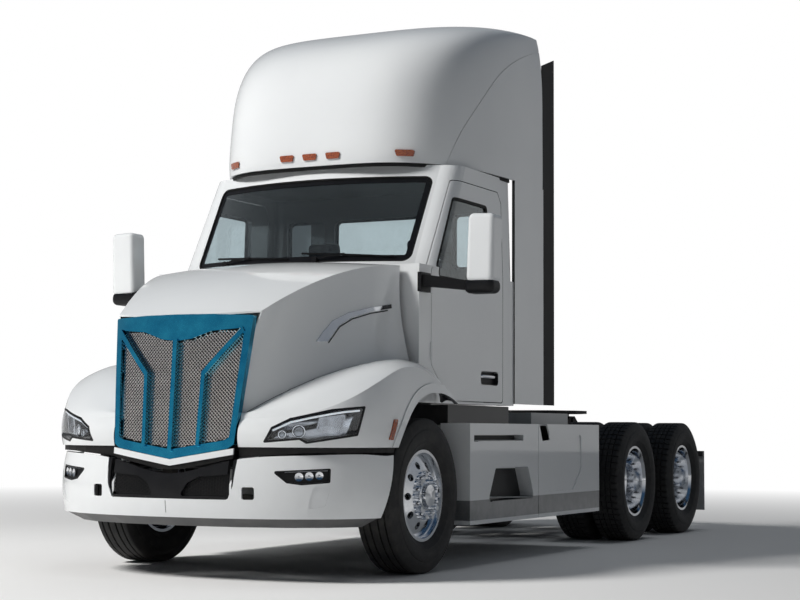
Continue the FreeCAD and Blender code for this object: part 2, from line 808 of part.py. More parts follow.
def windshield_corners(inset):
    half = float(dim.pillar_width) / 2 - 20 - inset
    low, top = float(dim.belt_height) + 40 + inset, float(dim.cab_roof) - 85 - inset
    return [(-half + 8, low), (half - 8, low), (half, top), (-half, top)]


def rear_window_corners(inset):
    low, top = float(dim.belt_height) + 110 + inset, float(dim.cab_roof) - 230 - inset
    main = (-470 + inset, 470 - inset)
    side = (560 + inset, 900 - inset)
    panes = [main, side, (-side[1], -side[0])]
    return [[(a, low), (b, low), (b, top), (a, top)] for a, b in panes]


def upright(radius, low, length):
    """A round bar on the axis that the left door turns on."""
    foot = point(cab_half, dim.door_front - 3, low)
    return Part.makeCylinder(radius, length, foot, Vector(0, 0, 1))


def hinge_on_cab(walls, z):
    """A pin between two lugs, and room round the door's barrel."""
    pin, barrel, half = float(dim.door_pin), float(dim.door_barrel), float(dim.door_leaf)
    across = Vector(1, 0, 0)
    lugs = [upright(barrel, z - 2 * half, half - 0.5), upright(barrel, z + half + 0.5, half - 0.5),
            upright(pin, z - 2 * half, 4 * half)]
    room = upright(barrel + 2, z - half - 0.5, 2 * half + 1)
    for piece in (room, room.mirror(Vector(), across)):
        walls = walls.cut(piece)
    for piece in lugs:
        walls = walls.fuse(piece).fuse(piece.mirror(Vector(), across))
    return walls


def hinge_on_door(panel, z):
    """A barrel and its leaf on the door, and room round the lugs on the cab."""
    pin, barrel, half = float(dim.door_pin), float(dim.door_barrel), float(dim.door_leaf)
    for low in (z - 2 * half - 2, z + half - 1):
        panel = panel.cut(upright(barrel + 2, low, half + 3))
    leaf = Part.makeBox(7, 60, 2 * half, point(cab_half - 8, dim.door_front - 3, z - half))
    panel = panel.fuse(upright(barrel, z - half, 2 * half)).fuse(leaf)
    return panel.cut(upright(pin + 0.05, z - half - 1, 2 * half + 2))


def cab():
    far = 3000
    gap = float(dim.run_gap)
    wall = float(dim.cab_wall)
    outside, inside = cab_solid(0), cab_solid(wall)
    shell = outside.cut(inside)
    glass_in, glass_out = 12, 12 + float(dim.glass_thickness)
    pane = cab_solid(glass_in).cut(cab_solid(glass_out))
    reach = float(cab_half) - 3 * wall
    door_hole = side_prism(door_corners(0), reach, far, 30)
    door_form = side_prism(drawn_in(door_corners(0), gap), reach, far, 30)
    window_hole = side_prism(window_corners(), reach, far, 40)
    window_form = side_prism(drawn_in(window_corners(), float(dim.seat_gap)), reach, far, 40)
    screen_hole = front_prism(windshield_corners(0), -1000, 1900, 60)
    screen_form = front_prism(drawn_in(windshield_corners(0), float(dim.seat_gap)),
                              -1000, 1900, 60)
    back_y = float(dim.cab_back) - 2 * wall
    cab_body = shell.cut(door_hole).cut(door_hole.mirror(Vector(), Vector(1, 0, 0)))
    cab_body = cab_body.cut(screen_hole)
    rear_panes = []
    for corners in rear_window_corners(0):
        cab_body = cab_body.cut(front_prism(corners, back_y, far, 50))
    for corners in rear_window_corners(0.3):
        rear_panes.append(formed("rear_pane",
                                 pane.common(front_prism(corners, back_y, far, 50))))
    hinge_heights = (float(dim.door_sill) + 90, float(dim.belt_height) - 130)
    for z in hinge_heights:
        cab_body = hinge_on_cab(cab_body, z)
    node("cab_shell", formed("cab_walls", cab_body))
    node("cab_glass", formed("windshield_pane", pane.common(screen_form)), *rear_panes)
    door = shell.common(door_form).cut(window_hole)
    pocket = side_prism([(1105, 1262), (1105, 1362), (1415, 1362), (1415, 1262)],
                        float(cab_half) - 32, 100, 30)
    door = door.cut(pocket)
    for z in hinge_heights:
        door = hinge_on_door(door, z)
    left = formed("door_panel", door)
    node("door_left", left)
    node("door_right", mirrored(left))
    glass = formed("door_pane", pane.common(window_form))
    node("door_glass_left", glass)
    node("door_glass_right", mirrored(glass))


def locker():
    """The dark locker that stands on the front energy box, under the cab's floor."""
    side = dim.skirt_side - dim.skirt_depth - dim.run_gap
    low = dim.skirt_top - dim.skirt_wall + dim.seat_gap
    return block("locker", (rail_outer + 60, side), (dim.skirt_front + 130, dim.skirt_split - 30),
                 (low, dim.cab_floor - dim.run_gap))


def cab_mounts():
    """Posts on the rails that the cab's floor rests on."""
    x = rail_outer - dim.rail_flange / 2
    posts = []
    for end, y in (("front", dim.cab_front + 250), ("rear", dim.cab_back - 200)):
        posts += both(block(f"cab_mount_{end}", (x - 40, x + 40), (y - 60, y + 60),
                            (dim.frame_top, dim.cab_floor)))
    return posts


steer_wheel_y = dim.cab_front + dim.cab_wall + dim.seat_gap + 480


def interior():
    floor = dim.cab_floor + dim.cab_wall
    dash_front = dim.cab_front + dim.cab_wall + dim.seat_gap
    inner = cab_half - dim.cab_wall - dim.seat_gap
    belt = dim.belt_height
    dash = plate("dash", "YZ", [
        (dash_front, belt - 420), (dash_front, belt - 60), (dash_front + 300, belt - 90),
        (dash_front + 380, belt - 190), (dash_front + 300, belt - 420),
    ], -inner + 60, inner * 2 - 120)
    column = (430, dash_front + 200, belt - 250)
    length = steer_wheel_y - 18 - dim.seat_gap - column[1]
    node("dashboard", fused("dash_solid", dash, rod("column", "y", column, 38, length)))
    seats = []
    for side, x in (("left", 430), ("right", -430)):
        base = block(f"seat_base_{side}", (x - 180, x + 180), (950, 1330), (floor, floor + 260))
        cushion = block(f"seat_cushion_{side}", (x - 250, x + 250), (880, 1380),
                        (floor + 260, floor + 400))
        back = plate(f"seat_back_{side}", "YZ", [
            (1290, floor + 400), (1400, floor + 1150), (1490, floor + 1150), (1410, floor + 400),
        ], measure(x - 240), measure(480))
        seats.append(fused(f"seat_{side}", base, cushion, back))
    node("seats", *seats)


def steering_wheel():
    y = steer_wheel_y
    z = dim.belt_height - 250
    ring = doc.addObject("Part::Torus", "wheel_ring")
    ring.Radius1 = 215
    ring.Radius2 = 15
    ring.Placement = Placement(Vector(), TURNS["y"])
    place(ring, 430, y, z)
    boss = rod("wheel_boss", "y", (430, y - 18, z), 55, 40)
    spokes = [block("spoke_across", (430 - 210, 430 + 210), (y - 8, y + 8), (z - 14, z + 14)),
              block("spoke_down", (430 - 14, 430 + 14), (y - 8, y + 8), (z - 210, z))]
    node("steering_wheel", fused("wheel_rim_solid", ring, boss, *spokes))


# Roof fairing and side extenders

def even_angles(exponent, wide, high, count):
    """Angles from 0 to a quarter turn whose places on a rounded corner are evenly spaced."""
    steps = 600
    spots = []
    for step in range(steps + 1):
        angle = pi / 2 * step / steps
        spots.append((wide * power(cos(angle), exponent), high * power(sin(angle), exponent)))
    lengths = [0.0]
    for (x0, y0), (x1, y1) in zip(spots, spots[1:]):
        lengths.append(lengths[-1] + ((x1 - x0) ** 2 + (y1 - y0) ** 2) ** 0.5)
    angles = []
    step = 0
    for number in range(count + 1):
        target = lengths[-1] * number / count
        while step < steps and lengths[step] < target:
            step += 1
        angles.append(pi / 2 * step / steps)
    angles[0], angles[-1] = 0.0, pi / 2
    return angles


def fairing_grid(inset):
    """Points of the fairing's skin: a rounded shape that opens downwards and to the rear."""
    half = float(dim.fairing_width) / 2 - inset
    back, front = float(dim.fairing_back), float(dim.fairing_front) + inset
    foot, top = float(dim.fairing_foot), float(dim.fairing_top) - inset
    plan, rise = 2 / 3.7, 2 / 3.0
    soften = 0.02
    quarter = even_angles(plan, half, back - front, 8)
    turns = quarter + [pi - angle for angle in reversed(quarter[:-1])]
    grid = []
    for turn in turns:
        row = []
        for climb in even_angles(rise, back - front, top - foot, 8):
            across, up = power(cos(turn), plan), abs(sin(climb)) ** rise
            ahead = abs(cos(climb)) ** rise * abs(sin(turn)) ** plan
            lean = 1 - 0.04 * sin(climb) ** 4
            row.append(Vector(
                half * lean * across * (1 - soften * up ** 8) ** 0.5,
                back - (back - front) * ahead,
                foot + (top - foot) * up * (1 - soften * abs(across) ** 8) ** 0.5))
        grid.append(row)
    return grid


def fairing_layer(outside, inside):
    """The part of the fairing's form between two depths."""
    return wall_between(skin_through(fairing_grid(outside)), skin_through(fairing_grid(inside)))


FAIRING_SEAM = [(800, 2800), (980, 3120), (1163, 3318), (1457, 3582), (1820, 3774),
                (2192, 3900), (2400, 3950)]


def roof_fairing():
    skin = fairing_layer(0, float(dim.fairing_wall))
    low = [Vector(500, y, z - 3) for y, z in FAIRING_SEAM]
    high = [Vector(500, y, z + 3) for y, z in reversed(FAIRING_SEAM)]
    band = Part.Face(closed_wire([low, [low[-1], high[0]], high, [high[-1], low[0]]]))
    groove = fairing_layer(-2, 4).common(band.extrude(Vector(800, 0, 0)))
    for slot in (groove, groove.mirror(Vector(), Vector(1, 0, 0))):
        skin = skin.cut(slot)
    node("roof_fairing", formed("fairing_shell", skin))


def roof_markers():
    """Five lamps along the front of the fairing's foot, standing a little proud of its skin."""
    layer = fairing_layer(-11, -float(dim.seat_gap))
    lamps = []
    for number, x in enumerate((0, 190, -190, 706, -706)):
        corners = [(x - 60, 2908), (x + 60, 2908), (x + 48, 2862), (x - 48, 2862)]
        lamps.append(formed(f"roof_marker_{number}",
                            layer.common(front_prism(corners, -100, 1200, 10))))
    node("roof_markers", *lamps)


def side_extenders():
    half = dim.fairing_width / 2
    front, back = dim.cab_back, dim.extender_back
    inner = half - dim.extender_thickness
    panel = plate("extender", "YZ", [
        (front, dim.extender_bottom), (back, dim.extender_bottom),
        (back, dim.fairing_foot - dim.seat_gap), (front, dim.fairing_foot - dim.seat_gap),
    ], inner, dim.extender_thickness)
    node("side_extenders", *both(panel))
    edge = plate("extender_lip", "YZ", [
        (back, dim.extender_bottom), (back + dim.extender_edge, dim.extender_bottom),
        (back + dim.extender_edge, dim.fairing_top - 130), (back, dim.fairing_top - 220),
    ], inner + 6, measure(8))
    node("extender_edges", *both(edge))


# Hood, fenders, grille and lamps

def hood_line(y):
    """Height of the crown, place of the crease and place of the low edge at a station."""
    t = (y - float(dim.hood_front)) / (float(dim.hood_back) - float(dim.hood_front))
    crown = between(dim.hood_nose, dim.hood_crown, ease(t, 2.1))
    crease = (between(505, 925, t), between(1608, 2036, ease(t, 1.8)))
    low = (between(420, 1000, ease(t, 2.1)), between(1000, 1395, ease(t, 2.6)))
    return crown, crease, low


def hood_station(y, grow, wall):
    """The hood's section, its outside moved out by an amount and its wall inside that."""
    crown, (crease_x, crease_z), (low_x, low_z) = hood_line(y)
    bulge = 0.10 * (crown - crease_z)
    core = Vector(0, y, low_z - 100)

    def spot(x, z):
        place_at = point(x, y, z)
        return place_at + (place_at - core).normalize() * grow

    top = [spot(crease_x * s, crown - (crown - crease_z) * s * s) for s in
           (-1, -0.6, 0, 0.6, 1)]
    middle_x = (crease_x + low_x) / 2 - 28
    middle_z = (crease_z + low_z) / 2 - bulge
    right = [top[-1], spot(middle_x, middle_z), spot(low_x, low_z)]
    left = [spot(-low_x, low_z), spot(-middle_x, middle_z), top[0]]
    return walled([left, top, right], lambda p: p - (p - core).normalize() * wall)


def hood_form(grow, wall):
    front, back = float(dim.hood_front), float(dim.hood_back)
    stations = [between(front, back, share) for share in (0, 0.12, 0.3, 0.6, 1)]
    return loft([hood_station(y, grow, wall) for y in stations])


def hood_panel():
    skin = hood_form(0, float(dim.hood_wall))
    behind = float(dim.grille_depth) + float(dim.seat_gap)
    skin = skin.cut(grille_slab(200, 200 + behind))
    node("hood_panel", formed("hood_skin", skin), formed("hood_foot", hood_lip()))


def hood_trims():
    """The bright slash on each side of the hood, set into its skin."""
    outline = [(-700, 1492), (-640, 1560), (-560, 1632), (-430, 1690), (-250, 1733),
               (-40, 1768), (-40, 1742), (-250, 1706), (-410, 1662), (-520, 1606),
               (-590, 1536), (-628, 1494)]
    grown = hood_form(float(dim.trim_stand), float(dim.trim_stand) - float(dim.seat_gap))
    strip = grown.common(side_prism(outline, 300, 900))
    node("hood_trims", *both(formed("hood_trim", strip)))


def stations_start():
    """How far out the fender's nose begins, beside the grille."""
    _, _, (start_x, _) = hood_line(float(dim.fender_front) + 60)
    return start_x + 14


def fender_stations():
    """Places along the fender's plan, with the outward direction: the nose, then the side."""
    half = float(dim.fender_width) / 2
    front = float(dim.fender_front)
    corner_x, corner_y = 400.0, -450.0
    stations = [(stations_start(), front, 0.0, -1.0)]
    for share in (0.12, 0.22, 0.32, 0.43, 0.54, 0.66, 0.78, 0.89, 1.0):
        angle = share * pi / 2
        x = corner_x + (half - corner_x) * power(sin(angle), 2 / 2.4)
        y = corner_y - (corner_y - front) * power(cos(angle), 2 / 2.4)
        stations.append((x, y, sin(angle), -cos(angle)))
    for y in (-320.0, -190.0, -60.0, 60.0, 175.0, 290.0, float(dim.fender_back)):
        stations.append((half, y, 1.0, 0.0))
    return stations


def crest_height(y):
    """Height of the fender's edge along the side."""
    t = (y - float(dim.fender_front)) / 1605
    return 1000 + 342 * sin(pi * min(1.0, max(0.0, t)) * 0.86) ** 1.3


def fender_section(x, y, out_x, out_y, grow, wall):
    """Outer wall and top of the fender at a station, with the same lines moved inwards."""
    foot = float(dim.fender_foot)
    crest = crest_height(y)
    front, back = float(dim.hood_front), float(dim.hood_back)
    if y <= back:
        inner_y = max(front, y + 60 * abs(out_y))
        _, _, (inner_x, inner_z) = hood_line(inner_y)
        inner = point(max(inner_x + 7, stations_start()), inner_y, inner_z)
    else:
        share = (y - back) / (float(dim.fender_back) - back)
        inner = point(float(cab_half) + 25, y, between(1395, crest + 20, ease(share, 2)))
    lean = 26
    out, up = Vector(out_x, out_y, 0), Vector(0, 0, 1)
    low = point(x, y, foot) + out * grow
    mid = Vector(x, y, (foot + crest) / 2) + out * (10 + grow)
    top = Vector(x, y, crest) - out * (lean - grow) + up * grow
    inner = inner + up * grow
    crown = (top + inner) * 0.5 + up * 26
    side = -out * wall
    down = -up * wall
    return [
        [low, mid, top], [top, crown, inner], [inner, inner + down],
        [inner + down, crown + down, top + side + down],
        [top + side + down, mid + side, low + side], [low + side, low],
    ]


def fender_layer(grow, wall):
    return loft([fender_section(*station, grow, wall) for station in fender_stations()])


def arch_prism(grow):
    """The opening over the steered wheel, widened by an amount on every side."""
    arch = [(-546, 778), (-430, 975), (-300, 1095), (-150, 1160), (0, 1180), (220, 1165),
            (460, 1090)]
    spots = []
    for y, z in arch:
        away = Vector(0, y + 60, z - 560).normalize() * grow
        spots.append(point(600, y, z) + away)
    low_front, low_back = point(600, -700 - grow, 300), point(600, 460 + grow, 300)
    spans = [[low_front, spots[0]], spots, [spots[-1], low_back], [low_back, low_front]]
    return Part.Face(closed_wire(spans)).extrude(Vector(1000, 0, 0))


def lamp_prism(inset):
    """The outline of the left headlamp on a plane turned half sideways."""
    corners = [(-179, 852), (-128, 949), (-14, 1005), (240, 1061), (456, 1082), (403, 898),
               (81, 848), (39, 872)]
    return corner_prism(drawn_in(corners, inset), 1200, 1600, float(dim.lamp_turn), 8)


def fenders():
    skin = fender_layer(0, float(dim.hood_wall)).cut(lamp_prism(0))
    lip_ring = arch_prism(float(dim.arch_lip))
    lip = fender_layer(float(dim.arch_stand), 20).common(lip_ring)
    beside = float(cab_half) + 12
    cab_side = Part.makeBox(beside, 600, 900, point(0, dim.hood_back + 18, 900))
    whole = skin.cut(lip_ring).fuse(lip).cut(arch_prism(0)).cut(cab_side)
    node("fenders", *both(formed("fender_skin", whole)))


def headlamps():
    """Black housings behind the fenders' skin, bright reflectors in them and clear lenses."""
    gap, rim, proud = float(dim.seat_gap), float(dim.lamp_rim), 6
    block_in = fender_layer(0, 90).common(lamp_prism(gap))
    room = fender_layer(proud, 82 + proud).common(lamp_prism(rim))
    node("headlamps", *both(formed("lamp_housing", block_in.cut(room))))
    lens = fender_layer(0, 4).common(lamp_prism(rim + gap))
    node("headlamp_lenses", *both(formed("lamp_lens", lens)))
    back = fender_layer(0, 82 - gap).cut(fender_layer(0, 74)).common(lamp_prism(rim + gap))
    pieces = []
    for u, z, radius in ((40, 922, 40), (-62, 904, 25)):
        tube = Part.makeCylinder(radius, 95, Vector(u, -1280, z), Vector(0, -1, 0))
        tube = tube.cut(Part.makeCylinder(radius - 5, 14, Vector(u, -1361, z), Vector(0, -1, 0)))
        pieces.append(tube.rotate(Vector(), Vector(0, 0, 1), float(dim.lamp_turn)))
    bowl = corner_prism([(135, 892), (300, 902), (330, 1030), (165, 1008)], 1270, 1362,
                        float(dim.lamp_turn), 12)
    bowl = bowl.cut(corner_prism([(145, 902), (290, 911), (318, 1020), (175, 1000)], 1345, 1370,
                                 float(dim.lamp_turn), 12))
    pieces.append(bowl)
    for piece in pieces:
        back = back.fuse(piece)
    back = back.common(fender_layer(-14, 68).common(lamp_prism(rim + gap)))
    node("lamp_reflectors", *both(formed("lamp_bright", back)))


def side_markers():
    layer = fender_layer(9, 9 - float(dim.seat_gap))
    corners = [(-640, 872), (-596, 872), (-548, 1002), (-592, 1002)]
    node("side_markers", *both(formed("side_marker", layer.common(
        side_prism(corners, 1100, 300, 8)))))


def grille_y(x, z):
    """How far forward the grille's face lies at a place in its front view."""
    share = (z - float(dim.grille_base)) / (float(dim.grille_top) - float(dim.grille_base))
    bow = between(115e-6, 291e-6, share)
    return float(dim.grille_foot) + 61 * share + bow * x * x


def grille_slab(out, depth):
    """A slab that follows the grille's face, its front set forward by out."""
    low, top = float(dim.grille_base) - 60, float(dim.grille_top) + 90
    across = [-560 + 1120 * i / 8 for i in range(9)]
    rises = [between(low, top, j / 6) for j in range(7)]
    grid = [[point(x, grille_y(x, z), z) for z in rises] for x in across]
    return surface_wall(grid, out, depth)


GRILLE_OUTLINE = [(0, 747), (404, 815), (446, 842), (516, 1640), (250, 1650), (0, 1652)]
GRILLE_OPENING = [(0, 808), (376, 866), (412, 886), (464, 1562), (250, 1544), (110, 1496),
                  (0, 1484)]


def symmetric(corners):
    """An outline that starts and ends on the centre line, with its mirror image added."""
    other = [(-x, z) for x, z in reversed(corners) if x > 0]
    return corners + other


hinge_x = 300


def hinge_arms():
    """Arms behind the grille's foot that turn on the hood's pins."""
    y, z = float(dim.hinge_y), float(dim.hinge_z)
    arms = []
    for side in (1, -1):
        x = side * (hinge_x + 16) - 6
        bar = side_prism([(y - 14, z - 6), (y + 14, z - 10), (y + 20, z + 60), (y - 4, z + 86),
                          (y - 26, z + 86), (y - 14, z + 14)], x, 12)
        eye = Part.makeCylinder(17, 12, Vector(x, y, z), Vector(1, 0, 0))
        bore = Part.makeCylinder(float(dim.hinge_pin) + 0.05, 12, Vector(x, y, z),
                                 Vector(1, 0, 0))
        arms.append((bar.fuse(eye), bore))
    return arms


def hinge_brackets():
    """Plates in the front crossmember that carry the hood's pins."""
    y, z = dim.hinge_y, dim.hinge_z
    back = dim.rail_front + dim.member_width - dim.rail_web
    arm = plate("hinge_plate", "YZ", [
        (back, z - 60), (back, z + 130), (back - 60, z + 130), (y + 10, z + 17),
        (y - 17, z, "through"), (y + 10, z - 17), (back - 60, z - 60),
    ], hinge_x - 7, 14)
    pin = rod("hinge_rod", "x", (hinge_x - 7, y, z), dim.hinge_pin, 40)
    return both(fused("hinge_solid", arm, pin))


def grille():
    """The bright surround with its arms, the bars in front of the mesh, and the hood's lip."""
    outer = front_prism(symmetric(GRILLE_OUTLINE), -1500, 600, 12)
    hole = front_prism(symmetric(GRILLE_OPENING), -1500, 600, 16)
    ring = grille_slab(0, float(dim.grille_depth)).common(outer).cut(hole)
    for arm, bore in hinge_arms():
        ring = ring.fuse(arm).cut(bore)
    bars = front_prism([(-15, 790), (15, 790), (15, 1500), (-15, 1500)], -1500, 600)
    for side in (1, -1):
        bars = bars.fuse(front_prism([
            (side * 188, 815), (side * 214, 822), (side * 228, 1272), (side * 472, 1540),
            (side * 456, 1568), (side * 202, 1290)], -1500, 600))
    bars = grille_slab(14, 40 - float(dim.seat_gap)).common(bars).common(front_prism(
        drawn_in(symmetric(GRILLE_OPENING), -12), -1500, 600))
    node("grille_surround", formed("surround", ring.fuse(bars)))
    mesh_area = front_prism(drawn_in(symmetric(GRILLE_OPENING), 0.3), -1500, 600, 16)
    node("grille_mesh", formed("mesh", grille_slab(-26, 6).common(mesh_area)))


def hood_lip():
    """The strip of painted hood that runs under the grille in a shallow V."""
    low, drop = float(dim.grille_base), float(dim.hood_lip)
    gap = float(dim.seat_gap)
    band = [(0, low - drop), (445, low + 72 - drop), (445, low + 71 - gap), (0, low - gap)]
    return grille_slab(0, float(dim.hood_wall)).common(front_prism(symmetric(band), -1500, 600))


# Bumper

def bumper_path(share):
    """Plan of the bumper's face: place and outward direction at a share of the way round."""
    half, front, end = float(dim.bumper_width) / 2, -float(dim.front_overhang), -480.0
    angle = share * pi / 2
    x = half * power(sin(angle), 2 / 2.3)
    y = end - (end - front) * power(cos(angle), 2 / 2.3)
    out = Vector(power(x / half, 1.3) / half, -abs((end - y) / (end - front)) ** 1.3 /
                 (end - front), 0).normalize()
    return x, y, out


def bumper_brow(x):
    """Height of the bumper's top edge: a dip in the middle and a slight rise to the ends."""
    inner = min(1.0, abs(x) / 480)
    outer = min(1.0, max(0.0, (abs(x) - 480) / 400))
    return between(dim.bumper_dip, dim.bumper_top - 30, inner) + 30 * outer


BUMPER_SHARES = (-0.97, -0.8, -0.6, -0.4, -0.2, 0, 0.2, 0.4, 0.6, 0.8, 0.97)


def bumper_layer(grow, wall):
    stations = []
    low = float(dim.bumper_bottom)
    for share in BUMPER_SHARES:
        x, y, out = bumper_path(share)
        top = bumper_brow(x)
        foot = Vector(x, y, low) - out * (18 - grow)
        face = Vector(x, y, between(low, top, 0.35)) + out * grow
        brow = Vector(x, y, top) - out * (22 - grow)
        inward = -out * wall
        stations.append([
            [foot, face, brow], [brow, brow + inward],
            [brow + inward, face + inward, foot + inward], [foot + inward, foot]])
    return loft(stations)


INSERT_OUTLINE = [(-432, 506), (432, 506), (466, 590), (486, 800), (-486, 800), (-466, 590)]
INSERT_WINDOW = [(96, 522), (150, 606), (232, 644), (440, 660), (446, 600), (418, 522)]
FOG_OUTLINE = [(-76, 682), (285, 700), (281, 612), (105, 598), (14, 610)]


def fog_prism(inset):
    return corner_prism(drawn_in(FOG_OUTLINE, inset), 1000, 1600, float(dim.fog_turn), 10)


def arch_cut():
    """What lies behind the bumper's ends, in front of the steered wheels."""
    return side_prism([(-690, 380), (-546, 800), (0, 800), (0, 300), (-690, 300)], -1500, 3000)


def bumper():
    skin = bumper_layer(0, float(dim.bumper_wall)).cut(arch_cut())
    skin = skin.cut(front_prism(INSERT_OUTLINE, -1500, 600, 24))
    tow_hole = front_prism([(520, 508), (598, 508), (598, 584), (520, 584)], -1500, 600, 14)
    across = Vector(1, 0, 0)
    for hole in (tow_hole, fog_prism(0)):
        skin = skin.cut(hole).cut(hole.mirror(Vector(), across))
    low_recess = corner_prism([(150, 500), (182, 590), (285, 590), (250, 470), (150, 455)],
                              1000, 1600, float(dim.fog_turn), 14)
    dent = bumper_layer(2, 6).common(low_recess)
    skin = skin.cut(dent).cut(dent.mirror(Vector(), across))
    for side in (1, -1):
        x = float(rail_outer) if side > 0 else -float(rail_outer) - 14
        front_y = bumper_path(0.235)[1] + 6
        arm = side_prism([(-930, 700), (-930, 900), (-1040, 900), (front_y, 600),
                          (front_y, 440), (-1040, 700)], x, 14)
        skin = skin.fuse(arm)
    node("front_bumper", formed("bumper_skin", skin))
    fog = bumper_layer(-1, 46).common(fog_prism(float(dim.seat_gap)))
    room = bumper_layer(0, 16).common(fog_prism(9))
    node("fog_lamps", *both(formed("fog_lamp", fog.cut(room))))


def bumper_insert():
    """The dark panel in the middle of the bumper, with two recessed meshes, and the air dam."""
    gap = float(dim.seat_gap)
    arms = [block("arm_room", (x - 15, x + 15), (-1400, -1000), (300, 900))
            for x in (rail_outer + 7, -rail_outer - 7)]
    panel = bumper_layer(-6, 30).common(front_prism(drawn_in(INSERT_OUTLINE, gap), -1500, 600, 24))
    window = front_prism(INSERT_WINDOW, -1500, 600, 16)
    for hole in (window, window.mirror(Vector(), Vector(1, 0, 0))):
        panel = panel.cut(bumper_layer(0, 30).common(hole))
    panel = formed("insert_panel", panel)
    node("bumper_insert", less("insert_cut", panel, *arms))


def air_dam():
    """The sloping strip under the bumper, held inside its lower edge."""
    low, inset = float(dim.bumper_bottom), 18 + float(dim.bumper_wall) + float(dim.seat_gap)
    stations = []
    for share in BUMPER_SHARES:
        x, y, out = bumper_path(share)
        foot = Vector(x, y, low) - out * inset
        turn, tip = foot + Vector(0, 0, -2), foot - out * 110 + Vector(0, 0, -58)
        up, back = Vector(0, 0, 40), -out * 6
        line = [foot + up, turn, tip]
        spots = line + [tip + back + Vector(0, 0, 8), turn + back * 1.4 + Vector(0, 0, 8),
                        foot + up + back * 1.4]
        stations.append([[a, b] for a, b in zip(spots, spots[1:] + spots[:1])])
    dam = loft(stations, ruled=True)
    node("air_dam", formed("dam", dam.cut(arch_cut())))


def hood_seal():
    """The dark strip that closes the joint between hood and bumper; it tilts with the hood."""
    gap = float(dim.run_gap) + 5
    wall = float(dim.hood_wall) + float(dim.seat_gap)
    foot = float(dim.fender_foot)
    stations = []
    for x, y, out_x, out_y in fender_stations()[:10]:
        out = Vector(out_x, out_y, 0)
        outer = Vector(x, y, 0) - out * wall
        low, top = bumper_brow(x) + gap, foot + 16
        spots = [outer + Vector(0, 0, low), outer + Vector(0, 0, top),
                 outer - out * 6 + Vector(0, 0, top), outer - out * 6 + Vector(0, 0, low)]
        stations.append([[a, b] for a, b in zip(spots, spots[1:] + spots[:1])])
    side = loft(stations, ruled=True).cut(arch_prism(6))
    lip = float(dim.hood_lip)
    grown = float(dim.grille_base) - lip
    band = [(0, bumper_brow(0) + gap), (440, bumper_brow(440) + gap), (440, grown + 70),
            (0, grown - 0.3)]
    middle = grille_slab(-wall, 8).common(front_prism(symmetric(band), -1500, 600))
    node("hood_seal", *both(formed("seal_side", side)), formed("seal_middle", middle))


# Side fairings and the boxes that carry them

def side_fairing(name, front, back, pockets):
    """A hollow fairing that opens inwards, with pockets pressed into its outer wall."""
    side, depth, wall = dim.skirt_side, dim.skirt_depth, dim.skirt_wall
    inner = side - depth
    hull = block(name + "_hull", (inner, side), (front, back), (dim.skirt_bottom, dim.skirt_top))
    hollow = block(name + "_hollow", (inner - 10, side - wall), (front + wall, back - wall),
                   (dim.skirt_bottom + wall, dim.skirt_top - wall))
    solids = [less(name + "_shell", hull, hollow)]
    cuts = []
    for number, (corners, deep, radius) in enumerate(pockets):
        x = float(side) - deep
        if deep > float(wall):
            tray = side_prism(drawn_in(corners, -float(wall) / 2), x - 6, 6 + deep - 4, radius)
            solids.append(formed(f"{name}_tray_{number}", tray))
        cuts.append(formed(f"{name}_pocket_{number}", side_prism(corners, x, deep + 10, radius)))
    whole = fused(name + "_solid", *solids) if len(solids) > 1 else solids[0]
    return less(name + "_cut", whole, *cuts)


def skirts():
    """Two fairings a side: the front one with two steps, the rear one with a shallow panel."""
    half_gap = 4
    upper = [(640, 858), (640, 905), (1512, 905), (1512, 858)]
    lower = [(880, 437), (1010, 672), (1600, 672), (1720, 437)]
    front = side_fairing("step_fairing", dim.skirt_front, dim.skirt_split - half_gap,
                         [(upper, 70, 10), (lower, 110, 30)])
    treads = [block("tread_upper", (dim.skirt_side - 72, dim.skirt_side - 2), (716, 1500),
                    (850, 862)),
              block("tread_lower", (dim.skirt_side - 112, dim.skirt_side - 2), (960, 1700),
                    (425, 441))]
    node("step_fairings", *both(fused("steps", front, *treads)))
    panel = [(1990, 480), (1880, 600), (1880, 830), (1990, 905), (2690, 905), (2690, 640),
             (2520, 480)]
    rear = side_fairing("rear_fairing", dim.skirt_split + half_gap, dim.skirt_back,
                        [(panel, 8, 40)])
    slot = formed("slot_cut", side_prism([(1812, 1000), (1960, 1000), (2050, 866), (1880, 858)],
                                         1160, 100, 12))
    node("rear_fairings", *both(less("rear_slot", rear, slot)))


def energy_boxes():
    """Plain boxes on the rails' webs; the side fairings are fastened round their outer ends."""
    outer = dim.skirt_side - dim.skirt_depth + dim.box_lap
    low, top = dim.skirt_bottom + dim.skirt_wall, dim.skirt_top - dim.skirt_wall
    front = block("box_front", (rail_outer, outer), (dim.skirt_front + 110, dim.skirt_split - 30),
                  (low, top))
    back = block("box_rear", (rail_outer, outer), (dim.skirt_split + 30, dim.skirt_back - 30),
                 (low, top))
    edge = dim.skirt_side - dim.skirt_depth - dim.seat_gap
    lid = block("box_lid", (rail_outer + 60, edge), (2200, 2970), (top - 10, top + 102))
    node("energy_boxes", *both(front), *both(fused("box_rear_solid", back, lid)))


def power_unit():
    wide = rail_inner - 14
    core = block("power_core", (-wide, wide), (-760, -40), (frame_low + 60, 1500))
    feet = block("power_feet", (-rail_face, rail_face), (-420, -340), (frame_low + 90, 860))
    node("power_unit", fused("power_solid", core, feet))


# Fifth wheel

